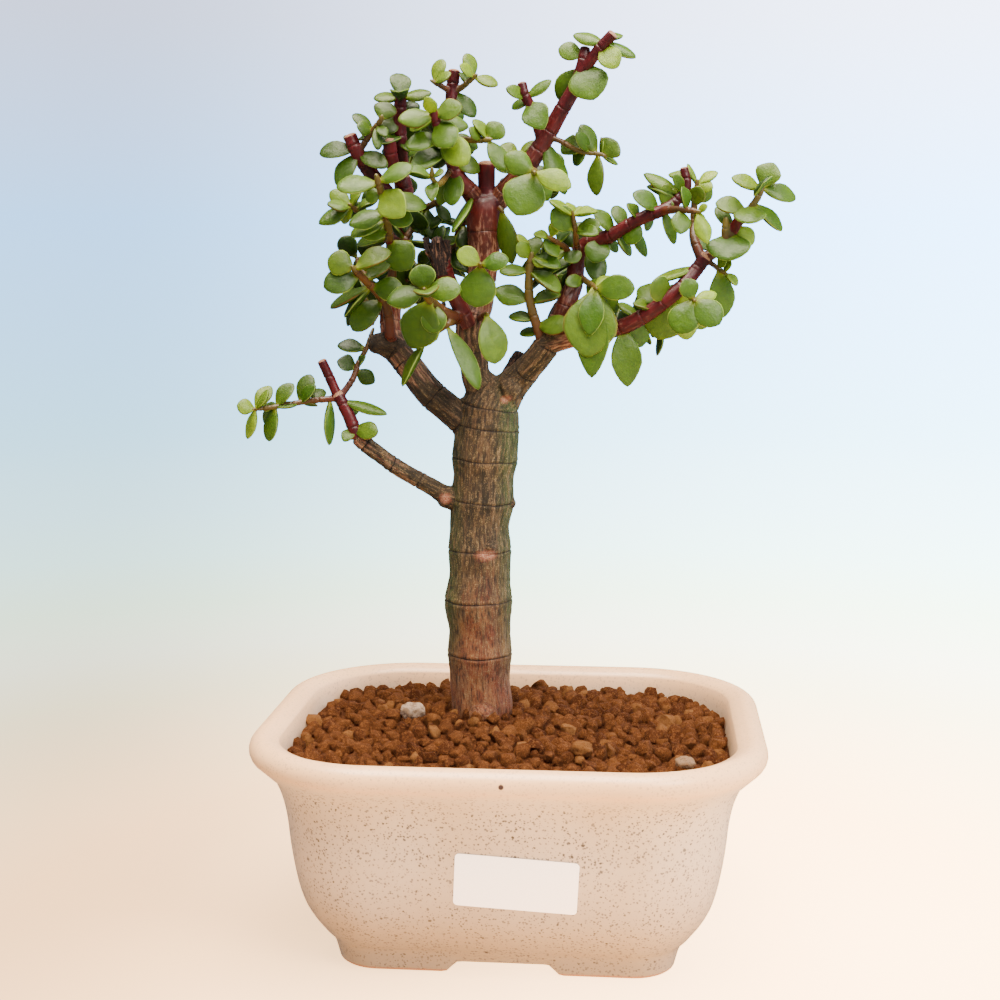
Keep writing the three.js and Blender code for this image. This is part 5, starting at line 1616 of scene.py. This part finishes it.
            [0.78, 1, -2, 9, 5, -5], [0.78, 3, -3, 2, 3, -30], [0.7, 2, 5, -5, 5, -40],
            [0.78, 5, -2, -12, 5, -35], [0.86, -11, 3, 6, 5, 60], [0.88, -13, 1, 9, 6, 35],
            [0.95, -6, 3, 3, 5, 50], [0.89, -3, -5, 6, 4, 20],
        ]),
        shoot([[54, -7, 275], [61, -16, 275], [68, -19, 274]], (1.6, 1.0), [
            [0.6, 0, -6, -8, 7, -15], [1, 4, -5, -10, 6, -15], [1, 3, -3, 2, 3, -20],
            [0.71, -1, -3, 8, 5, 50], [0.88, 4, 3, -6, 5, -30],
        ]),
        shoot([[24, 8, 259], [23, 0, 264], [23, -7, 268], [22, -10, 275]], (1.4, 0.8), [
            [0.71, -8, -4, 7, 9, 10], [0.7, 9, -2, 3, 6, -30], [0.66, 8, -7, 0, 5, -45],
            [0.96, -8, 1, 6, 5, 60], [0.99, 5, 1, 3, 5, -30], [1, -2, 3, 5, 4, 50],
            [0.94, 9, 0, 2, 5, -55],
        ]),
        shoot([[23, 7, 256], [19, 0, 262], [16, -5, 264], [13, -9, 266]], (1.3, 0.9), [
            [0.67, -4, -6, -2, 8, 15], [0.98, 3, 0, 6, 5, -30], [0.98, -6, 0, 2, 5, 55],
            [0.71, 4, 3, 6, 6, -40], [0.4, 4, -4, -4, 7, -30], [0.37, -10, -2, -2, 6, 50],
            [0.14, -11, 0, -5, 6, 50],
        ]),
        shoot([[23, 7, 252], [28, -4, 249], [31, -12, 247]], (1.4, 1.0), [
            [1, 14, -5, 0, 9, -12], [0.95, 6, 3, 5, 6, -30], [0.46, 6, -8, -4, 8, -5],
            [0.34, -6, -6, -1, 5, 10], [0.95, -3, 4, -25, 19, 0], [0.98, -2, -5, -17, 9, 5],
            [0.92, -1, 7, -32, 12, 5], [0.95, 9, 7, -9, 7, -20],
        ]),
        shoot([
            [24, 7, 260], [21, 24, 263], [18, 38, 266], [17, 44, 271],
        ], (1.4, 0.9), pairs=3, leaf_length=10),
    ],
    "right_outer": [
        shoot([
            [26, -2, 230], [32, -4, 231], [40, -7, 233], [48, -10, 237], [55, -12, 242], [62, -12, 248],
            [67, -10, 254], [70, -10, 258],
        ], (3.3, 2.4), [
            [0.29, 2, -3, -22, 11, -10], [0.35, 6, 7, -9, 9, -15], [0.52, -7, -3, 3, 5, 60],
            [0.41, -7, 4, 7, 5, 45], [0.59, -9, 6, 6, 8, 15], [0.67, -6, -7, 4, 9, 10],
            [0.67, -5, 1, -16, 16, 5], [0.76, 3, 6, -20, 10, -10], [0.94, -17, -3, -4, 6, 62],
        ]),
        shoot([[69, -10, 257], [66, -7, 265], [66, -4, 271], [66, -4, 278], [67, -5, 286]], (2.0, 1.0), [
            [1, -2, 1, 8, 4, 60], [1, 7, 0, 5, 5, -45], [1, 5, -4, -1, 5, -20], [0.9, 6, 1, -3, 7, -15],
            [0.69, 1, -6, 7, 6, -20], [0.19, 5, 3, 2, 7, -30],
        ]),
        shoot([
            [70, -10, 258], [76, -10, 262], [80, -12, 268], [83, -12, 272], [88, -14, 279],
            [90, -14, 284],
        ], (2.2, 1.0), [
            [0.39, -2, -9, -9, 15, 15], [0.47, 7, 2, -6, 7, -15], [0.66, -11, -1, 4, 7, 30],
            [0.75, -2, -9, -5, 11, 20], [0.43, -6, 2, 9, 5, 20], [0.78, 11, 0, -9, 6, -45],
            [0.94, -10, -2, 5, 6, 40], [0.99, 4, 1, 9, 9, -8], [0.99, 1, -12, -1, 9, 180],
            [0.99, 13, 3, -3, 7, -30],
        ]),
        shoot([[77, -12, 263], [77, -14, 272]], (1.6, 1.5)),
        shoot([[80, -12, 268], [82, -16, 273]], (1.9, 1.8)),
        shoot([[71, -10, 257], [75, -12, 254], [78, -14, 252]], (1.0, 0.8), [
            [0.98, 5, -1, -4, 5, -60], [0.98, 1, 0, 5, 4, -55], [0.5, 2, -3, 4, 4, -30],
            [0.56, 2, 2, -18, 10, -20],
        ]),
        shoot([[61, -12, 247], [64, -21, 245], [66, -29, 243]], (1.6, 1.1), [
            [0.94, -3, -2, 7, 7, 15], [1, 8, 1, 3, 5, -30], [1, 9, -4, -8, 10, -10],
            [1, -6, -4, -11, 11, 12], [0.67, 6, 5, -12, 8, -5],
        ]),
        shoot([[57, -12, 243], [58, 10, 241], [57, 24, 238]], (1.4, 0.9), pairs=3, leaf_length=11),
    ],
}
print("shoots:", sum(map(len, SPRAYS.values())), "on", len(SPRAYS), "sprays")

# %% [markdown]
# The paired leaves follow a rule: each pair crosses the one below it, and lengths and leans
# vary by a fixed stream of random numbers. It is the same rule and the same stream as in the
# solid model, so each leaf lands where its solid counterpart is.

# %% Rules for the leaves
PAIR_SEED = 20240
PAIR_RATIO = 0.72
PAIR_LENGTHS = (0.85, 1.15)
PAIR_LEANS = (0.35, 0.75)
LEAF_THICKNESS = 2.4
LEAF_PLUMPNESS = 0.2
LEAF_BEND = 0.08
LEAF_ROOT = 1.5  # no leaf starts nearer than this to its shoot's end
FRONT = np.array([0.0, -1.0, 0.0])

# A few more shoots fill the inside of the crown. They are finer than the solid model goes.
INNER_SHOOTS = {
    "left_crown": [
        shoot([[-45, 13, 261], [-39, 15, 270], [-30, 16, 267]], (1.5, 0.9), pairs=4, leaf_length=12),
        shoot([[-47, 13, 243], [-55, 15, 243], [-64, 14, 241]], (1.5, 0.9), pairs=4, leaf_length=11),
        shoot(
            [[-47, 13, 248], [-37, 16, 253], [-30, 17, 248], [-28, 17, 238]], (1.6, 0.9), pairs=5,
            leaf_length=12,
        ),
    ],
    "centre_left": [
        shoot([[-18, 13, 275], [-23, 15, 267], [-26, 16, 256]], (1.5, 0.9), pairs=4, leaf_length=13),
    ],
    "centre_top": [
        shoot([[-6, 3, 277], [-4, 2, 275]], (1.1, 0.9), [[1, 3, -2, -20, 8.5, 25]]),
    ],
    "right_inner": [
        shoot([[18, 9, 243], [13, 13, 253], [7, 14, 257]], (1.5, 0.9), pairs=4, leaf_length=11),
    ],
    "right_outer": [
        shoot([[32, 6, 233], [47, 11, 237], [57, 11, 231]], (1.5, 0.9), pairs=4, leaf_length=11),
    ],
}
INNER_SEED = 77


def unit(vector):
    return vector / np.linalg.norm(vector)


def random_stream(seed, factor=48271, modulus=2147483647):
    """Random shares by Park and Miller's rule, the same in every language."""
    state = seed
    while True:
        state = state * factor % modulus
        yield state / modulus


def between(low, high, share):
    return low + (high - low) * share


def along_route(points, share):
    """The point and the direction at a share of a route's length."""
    lengths = np.linalg.norm(np.diff(points, axis=0), axis=1)
    rest = min(share * lengths.sum(), lengths.sum() - LEAF_ROOT)
    i = 0
    while i < len(lengths) - 1 and rest > lengths[i]:
        rest -= lengths[i]
        i += 1
    direction = unit(points[i + 1] - points[i])
    return points[i] + direction * rest, direction


def turned(vector, axis, angle):
    return np.array(Matrix.Rotation(angle, 3, Vector(axis)) @ Vector(vector))


def measured_leaves(branch):
    leaves = []
    for share, x, y, z, width, roll in branch["leaves"]:
        reach = np.array([x, y, z], float)
        along = unit(reach)
        front = unit(FRONT - along * FRONT.dot(along))
        angle = math.radians(roll)
        face = front * math.cos(angle) + np.cross(along, front) * math.sin(angle)
        base = along_route(branch["route"], share)[0]
        leaves.append({"base": base, "reach": reach, "width": width, "face": face, "share": share})
    return leaves


def paired_leaves(branch, random):
    leaves = []
    start = next(random) * math.pi
    for i in range(branch["pairs"]):
        point, direction = along_route(branch["route"], (i + 1) / branch["pairs"])
        across = turned(unit(np.cross(FRONT, direction)), direction, start + i * math.pi / 2)
        for way in (1, -1):
            length = branch["leaf_length"] * between(*PAIR_LENGTHS, next(random))
            reach = unit(across * way + direction * between(*PAIR_LEANS, next(random)))
            face = unit(direction - reach * direction.dot(reach))
            leaves.append({
                "base": point, "reach": reach * length, "width": PAIR_RATIO * length,
                "face": face, "share": (i + 1) / branch["pairs"],
            })
    return leaves


# %% [markdown]
# In the solid model a leaf that would have run into another shoot is bent out of its way. Each
# leaf here looks for its corner points in the solid, and takes the bend at which it finds them.

# %% Bends
BENDS = [
    (0, 0, 0), (0, -0.3, 0), (0, 0.3, 0), (0, -0.6, 0), (0, 0.6, 0), (0, 0, 0.35), (0, 0, -0.35),
    (0.35, 0, 0), (-0.35, 0, 0), (0, -0.6, 0.4), (0, 0.6, 0.4), (0, -0.6, -0.4), (0, 0.6, -0.4),
    (0.6, 0, 0.4), (-0.6, 0, 0.4), (0, -1.2, 0), (0, 1.2, 0),
]
CORNER_FOUND = 0.05  # millimetres
RIM_CORNERS = [(1, 0, 0), (0.78, 1, 0.9), (0.78, -1, 0.9), (0.34, 1, 0.82)]  # along, side, width


def bent(leaf, bend):
    length = np.linalg.norm(leaf["reach"])
    along = unit(leaf["reach"] + np.array(bend) * length)
    face = unit(leaf["face"] - along * leaf["face"].dot(along))
    return {**leaf, "reach": along * length, "face": face}


def corner_points(leaf):
    """The tip and the widest points of the leaf's rim, as the solid model has them."""
    length = np.linalg.norm(leaf["reach"])
    side = np.cross(leaf["reach"] / length, leaf["face"])
    return [
        leaf["base"] + leaf["reach"] * s + side * way * half * leaf["width"] / 2
        - leaf["face"] * LEAF_BEND * length * s * s
        for s, way, half in RIM_CORNERS
    ]


def settled(leaf, corners):
    """The leaf in the pose in which it is part of the solid, or None."""
    for needed, bends in ((2, BENDS), (1, BENDS[:1])):
        for bend in bends:
            pose = bent(leaf, bend)
            hits = sum(corners.find(p * MM)[2] < CORNER_FOUND * MM for p in corner_points(pose))
            if hits >= needed:
                return pose
    return None


def spray_leaves(name, random):
    points = points_of(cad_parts[name].data)
    corners = kdtree.KDTree(len(points))
    for i, point in enumerate(points):
        corners.insert(point, i)
    corners.balance()
    wanted = []
    for branch in SPRAYS[name]:
        wanted += measured_leaves(branch)
        wanted += paired_leaves(branch, random) if branch["pairs"] else []
    poses = [settled(leaf, corners) for leaf in wanted]
    print(name, "leaves:", len(wanted), "left out:", poses.count(None))
    inner = []
    for branch in INNER_SHOOTS.get(name, ()):
        inner += measured_leaves(branch) + paired_leaves(branch, inner_random)
    return [pose for pose in poses if pose] + inner


# %% [markdown]
# A leaf is a thick blade on a short stalk. Seen from above it is narrow at the base, broadest
# past the middle and round at the tip; across, it is nearly flat on top with a full belly and a
# rounded margin. A few variants fold, cup and twist a little.

# %% The leaf blades
BLADE_OUTLINE = [  # how far along, half the width, thickness, as shares
    (0.0, 0.14, 0.5), (0.08, 0.24, 0.6), (0.19, 0.52, 0.85), (0.33, 0.8, 1.0),
    (0.48, 0.97, 1.0), (0.63, 1.0, 0.95), (0.77, 0.89, 0.8), (0.88, 0.67, 0.64), (0.96, 0.36, 0.45),
]
BLADE_ROUND = [  # across from edge to edge, and depth below the face, as shares
    (1.0, 0.34), (0.86, 0.03), (0.0, 0.0), (-0.86, 0.03), (-1.0, 0.34), (-0.74, 0.8), (0.0, 1.0),
    (0.74, 0.8),
]
BLADE_FULLNESS = 1.07  # the round outline is a little wider than the solid's cornered one
BLADE_KINDS = [
    {"cup": 0.5, "droop": 0.5, "twist": 0.0, "point": 0.35, "fold": 0.2},
    {"cup": 0.15, "droop": 0.75, "twist": 0.15, "point": 0.0, "fold": 0.0},
    {"cup": 0.9, "droop": 0.3, "twist": -0.1, "point": 0.7, "fold": 0.4},
    {"cup": 0.3, "droop": 0.6, "twist": -0.2, "point": 0.15, "fold": 0.0},
    {"cup": -0.2, "droop": 0.9, "twist": 0.1, "point": 0.6, "fold": 0.15},
    {"cup": 0.6, "droop": 0.4, "twist": 0.1, "point": 0.0, "fold": 0.6},
]


def blade(name, cup, droop, twist, point, fold):
    """A leaf along x, 1 long, its half width 1 in y and its thickness 1 below its face in z."""
    points, marks = [], []
    for s, half, thick in BLADE_OUTLINE:
        pinch = 1 - 0.5 * point * max(s - 0.6, 0) / 0.4
        for across, depth in BLADE_ROUND:
            y = half * across * pinch
            lift = cup * y * y + fold * abs(y) * (1 - s) - droop * s * s - thick * depth
            points.append((s, y, lift + twist * y * s))
            marks.append((s, abs(across), 1.0 - depth))
    points.append((1.0, 0.0, -droop - 0.25))
    marks.append((1.0, 1.0, 0.7))
    sides = len(BLADE_ROUND)
    faces = [tuple(range(sides)), *bands(len(BLADE_OUTLINE), sides, turned_over=True)]
    last = (len(BLADE_OUTLINE) - 1) * sides
    faces += [(last + (i + 1) % sides, last + i, len(points) - 1) for i in range(sides)]
    mesh = bpy.data.meshes.new(name)
    mesh.from_pydata(points, [], faces)
    set_values(mesh, "blade", marks, "FLOAT_VECTOR")
    mesh.shade_smooth()
    return bpy.data.objects.new(name, mesh)


BLADES = collection_of("blades", [blade(f"blade_{i}", **k) for i, k in enumerate(BLADE_KINDS)])

# %% [markdown]
# Geometry Nodes set one blade on each point of a cloud. The point carries the leaf's direction,
# its face, its size and its look as attributes, and Axes to Rotation turns the first two into
# the blade's stance.


# %% Setting the leaves
def leaf_tree():
    tree, given, out = new_geometry_tree("leaves on points", [
        ("Blades", "NodeSocketCollection", None),
        ("Seed", "NodeSocketInt", 4),
        ("Material", "NodeSocketMaterial", None),
    ])
    cloud = add(tree, "GeometryNodeMeshToPoints", {"Mesh": given["Geometry"]}).outputs[0]
    reach, face, size = (named(tree, name, "FLOAT_VECTOR") for name in ("reach", "face", "size"))
    stance = add(
        tree, "FunctionNodeAxesToRotation", {"Primary Axis": reach, "Secondary Axis": face},
        primary_axis="X", secondary_axis="Z",
    )
    pick = random_value(tree, 0, len(BLADE_KINDS) - 1, given["Seed"], "INT")
    placed = one_on_each(tree, cloud, given["Blades"], pick, stance.outputs[0], size)
    return ended(tree, out, placed, given["Material"])


LEAVES = leaf_tree()
print("leaf tree:", len(LEAVES.nodes), "nodes")

# %% [markdown]
# A leaf's look varies with its place and age: painted shade darkens the leaves inside the crown
# and low on its left. The small last leaves of a shoot are the youngest and a fresh yellow green.
# The upper face is a soft mid green with a thin margin, a painted pale highlight on most leaves
# and the leaf's own red on some, and the belly is painted a much deeper green as shade.


# %% The leaf surface
def leaf_material():
    material, tree, shader = new_material(
        "jade leaf", Subsurface_Weight=0.1, Subsurface_Scale=0.001, Specular_IOR_Level=0.16,
        Coat_Weight=0.04, Coat_Roughness=0.25,
    )
    shader.inputs["Subsurface Radius"].default_value = (0.5, 1.0, 0.2)
    at = in_millimetres(tree)
    on_blade = add(tree, "ShaderNodeSeparateXYZ", {0: attribute(tree, "blade", "Vector")}).outputs
    along, edge, upper = on_blade[0], on_blade[1], on_blade[2]
    tint, fresh, painted_shade = (attribute(tree, name) for name in ("tint", "fresh", "painted_shade"))
    mottle = noise_node(tree, at, 0.4, 3, 0.6)
    grainy = noise_node(tree, at, 2.4, 3, 0.7)
    # The upper face is pale and the belly is painted deeper as shade, also in the lime tone that
    # lies over both while the leaf is young.
    top = mix(tree, tint, colour(40, 64, 7), colour(60, 79, 16))
    shaded_belly = mix(tree, tint, colour(15, 35, 2), colour(29, 49, 6))
    side = ramp(tree, upper, 0.45, 0.97)
    tone = mix(tree, side, shaded_belly, top)
    lime = mix(tree, side, colour(70, 95, 4), colour(106, 124, 16))
    tone = mix(tree, fresh, tone, lime)
    tone = mix(tree, ramp(tree, mottle, 0.35, 0.7, 0.0, 0.35), tone, colour(26, 49, 4))
    # Painted shade for the leaves inside the crown and on its left.
    tone = mix(tree, painted_shade, tone, colour(20, 36, 3))
    tone = mix(tree, ramp(tree, along, 0.03, 0.24, 0.7, 0.0), tone, colour(100, 105, 17))
    tone = mix(tree, ramp(tree, grainy, 0.6, 0.72, 0.0, 0.22), tone, colour(93, 108, 42))
    # A thin line runs round the margin: a painted pale highlight on most leaves, the leaf's own
    # reddish margin on some.
    rim = times(tree, ramp(tree, edge, 0.9, 0.99), ramp(tree, upper, 0.5, 0.66))
    rim = times(tree, rim, ramp(tree, along, 0.15, 0.4, 0.0, 0.55))
    red_share = ramp(tree, tint, 0.72, 0.8)
    pale_highlight_and_red_rim = mix(tree, red_share, colour(122, 136, 56), colour(94, 39, 22))
    tone = mix(tree, rim, tone, pale_highlight_and_red_rim)
    relief = bump(tree, grainy, 0.05, 0.4)
    relief = bump(tree, mottle, 0.6, 0.5, relief)
    shine = ramp(tree, mottle, 0.3, 0.7, 0.36, 0.48)
    return wired(material, tree, shader, tone, relief, shine)


leaf_surface = leaf_material()

# %% The leaves' looks
# A leaf gets painted shade between each pair of places: inwards, to the left and up or down.
DARK_INWARDS = (-4.0, 12.0)
DARK_LEFT = (-22.0, -38.0)
DARK_ABOVE = (200.0, 212.0)
DARK_BELOW = (290.0, 245.0)
YOUNG_SHARE, YOUNG_WIDTH = 0.9, 7.0  # young leaves sit past this share and are narrower
PALE_LUCK = 0.93  # leaves with more luck than this are pale at any age


def shade_in_crown(leaf):
    """How much painted shade a leaf gets: the most inside the crown and low on its left."""
    x, y, z = leaf["base"] + leaf["reach"] * 0.5
    left = share_of(x, *DARK_LEFT) * share_of(z, *DARK_ABOVE) * share_of(z, *DARK_BELOW)
    return 0.65 * share_of(y, *DARK_INWARDS) + 0.6 * left


def leaves_object(name, leaves, random):
    """One mesh with a blade for each leaf."""
    cloud = mesh_object(name, [leaf["base"] * MM for leaf in leaves], [])
    lengths = np.array([np.linalg.norm(leaf["reach"]) for leaf in leaves])
    widths = np.array([leaf["width"] for leaf in leaves]) * BLADE_FULLNESS
    thick = np.minimum(LEAF_THICKNESS, LEAF_PLUMPNESS * lengths)
    size = np.column_stack([lengths, widths / 2, thick]) * MM
    reaches = [unit(leaf["reach"]) for leaf in leaves]
    faces = [leaf["face"] for leaf in leaves]
    for key, vectors in (("reach", reaches), ("face", faces), ("size", size)):
        set_values(cloud.data, key, vectors, "FLOAT_VECTOR")
    set_values(cloud.data, "tint", random.uniform(0, 1, len(leaves)))
    young = [leaf["share"] > YOUNG_SHARE and leaf["width"] < YOUNG_WIDTH for leaf in leaves]
    luck = random.uniform(0, 1, len(leaves))
    fresh = np.where(young, 0.25 + 0.6 * luck, np.where(luck > PALE_LUCK, 0.5, 0.12 * luck))
    set_values(cloud.data, "fresh", fresh)
    set_values(cloud.data, "painted_shade", [shade_in_crown(leaf) for leaf in leaves] * (0.7 + 0.6 * luck))
    return run_tree(cloud, LEAVES, blades=BLADES, material=leaf_surface, seed=len(leaves))


# %% [markdown]
# The shoots are tubes as the limbs are, melted together at their forks. A shoot ends in a blunt
# cut with a pale face where it was pruned, and has a ring at every node.

# %% The shoots' wood
SHOOT_SIDES = 16
SHOOT_VOXEL = 0.36
SHOOT_RELIEF = {"depth": 0.32 * MM, "ring_depth": 0.2 * MM}
NODE_SPACING = 8.5
PRUNED_GIRTH = 1.6  # a shoot at least this thick at its end was cut there
THIN_SHOOT = 2.45  # shoots thinner than this turn green towards their tip, unless pruned
GREEN_TIP = 4.0  # and so does the last bit of every other shoot that was not pruned
DRY_SHOOT = ("centre_low", 1)  # this one has withered
LOOK_SEED = 5


def shoot_rows(branch):
    girth = np.linspace(*branch["girth"], len(branch["route"]))
    rows = smooth_route(np.column_stack([branch["route"], girth]), 6)
    if branch["girth"][1] < PRUNED_GIRTH:
        rows[-3:, 3] *= (0.92, 0.8, 0.62)
    return rows


def ring_spots(branch):
    lengths = arc_lengths(branch["route"])
    count = int(lengths[-1] / NODE_SPACING)
    return [along_route(branch["route"], (i + 0.6) / max(count, 1))[0] for i in range(count)]


def shoot_youth(branch):
    """The thicker a shoot, the older it is, at its foot above all."""
    thick, thin = branch["girth"]
    at_foot = np.clip(1.06 - 0.09 * thick, 0.6, 0.96)
    at_tip = np.clip(1.12 - 0.08 * thin, 0.6, 1)
    return float(at_foot), float(at_tip)


def shoots_object(name, random):
    branches = []
    withered = SPRAYS[name][DRY_SHOOT[1]] if name == DRY_SHOOT[0] else None
    shoots = [*SPRAYS[name], *INNER_SHOOTS.get(name, ())]
    for branch in shoots:
        pruned = branch["girth"][1] >= PRUNED_GIRTH
        branches.append({
            "rows": shoot_rows(branch), "youth": shoot_youth(branch), "wave": 0.15,
            "rings": ring_spots(branch), "cut": pruned and branch is not withered,
        })
    rows = [rounded_end(b["rows"], 0.35 if b["cut"] else 0.8) for b in branches]
    tubes = routes_object(f"{name}_shoots", rows)
    run_tree(tubes, TUBES, sides=SHOOT_SIDES, material=bark)
    melted(tubes, SHOOT_VOXEL, 3)
    owner, along = read_routes(tubes.data, branches)
    ends = np.array([arc_lengths(b["rows"][:, :3])[-1] for b in branches])
    pruned = np.array([b["cut"] for b in branches])
    thin = np.array([b["girth"][0] < THIN_SHOOT for b in shoots]) & ~pruned
    greens = np.where(thin, random.uniform(0.3, 1.0, len(thin)), 0.0)
    dry = np.array([(name, k) == DRY_SHOOT for k in range(len(branches))], float)
    tip = np.clip((along - ends[owner] + GREEN_TIP) / GREEN_TIP, 0, 1) * ~pruned[owner]
    grown = greens[owner] * np.clip(0.15 + 1.3 * along / ends[owner], 0, 1)
    set_values(tubes.data, "green", np.maximum(grown, tip))
    set_values(tubes.data, "dead", dry[owner])
    run_tree(tubes, RELIEF, **SHOOT_RELIEF)
    return smooth(covered(tubes, bark))


pair_random = random_stream(PAIR_SEED)
inner_random = random_stream(INNER_SEED)
look_random = np.random.default_rng(LOOK_SEED)
for name in SPRAYS:
    foliage = leaves_object(f"{name}_spray", spray_leaves(name, pair_random), look_random)
    smooth(foliage)
    place(joined(foliage, shoots_object(name, look_random)), "leaf", name)

# %% [markdown]
# One pruned shoot has died back to a dry, papery cup: a thin wall that runs up the outside, over
# a torn rim and down the inside.


# %% The dry tip
DRY_TIP = {"foot": (-26.6, -4.6, 252.0), "top": (-28.6, -6.0, 266.5), "radius": (2.7, 4.6)}
DRY_SIDES = 28
DRY_WALL = 0.35
DRY_UP = np.linspace(0, 1, 9)  # how high up the rings of the outside lie
DRY_DOWN = np.linspace(1, 0.2, 7)  # and those of the inside


def dry_tip_mesh():
    foot, top = (np.array(DRY_TIP[end]) for end in ("foot", "top"))
    axis = unit(top - foot)
    across = unit(np.cross(axis, FRONT))
    beside = np.cross(axis, across)
    narrow, wide = DRY_TIP["radius"]
    levels = [*((s, 0.0) for s in DRY_UP), *((s, DRY_WALL) for s in DRY_DOWN)]
    rings = []
    for s, inset in levels:
        ring = []
        for turn in np.linspace(0, 2 * math.pi, DRY_SIDES, endpoint=False):
            spot = Vector((math.cos(turn), math.sin(turn), 0))
            fold = noise.noise(spot * 3.4 + Vector((3, 1, 1.2 * s)))
            torn = 1 - 1.3 * abs(noise.noise(spot * 3.1 + Vector((9, 4, 2))))
            radius = between(narrow, wide, s * s) * (1 + 0.7 * fold * s) - inset
            high = s * torn * np.linalg.norm(top - foot)
            ring.append(foot + axis * high + (across * spot.x + beside * spot.y) * radius)
        rings.append(np.array(ring))
    points, faces = loft(rings)
    tip = mesh_object("dry_tip", points * MM, faces)
    turns = np.tile(np.arange(DRY_SIDES) * 0.6, len(levels))
    heights = np.repeat([s * 12 for s, _ in levels], DRY_SIDES)
    grain = np.column_stack([np.cos(turns) * 3, turns, heights])
    set_values(tip.data, "grain", grain, "FLOAT_VECTOR")
    set_values(tip.data, "dead", np.ones(len(points)))
    return smooth(tip, 50)


place(covered(dry_tip_mesh(), bark), "bark")

# %% [markdown]
# ## The finished size
#
# The last cell writes down the solid model's box and the finished one, which should agree.

# %% The size
finished_box = [list(corner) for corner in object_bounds()]
for label, (low, high) in (("solid", cad_box), ("finished", finished_box)):
    print(label, [round((h - l) / MM, 1) for l, h in zip(low, high)], "mm")
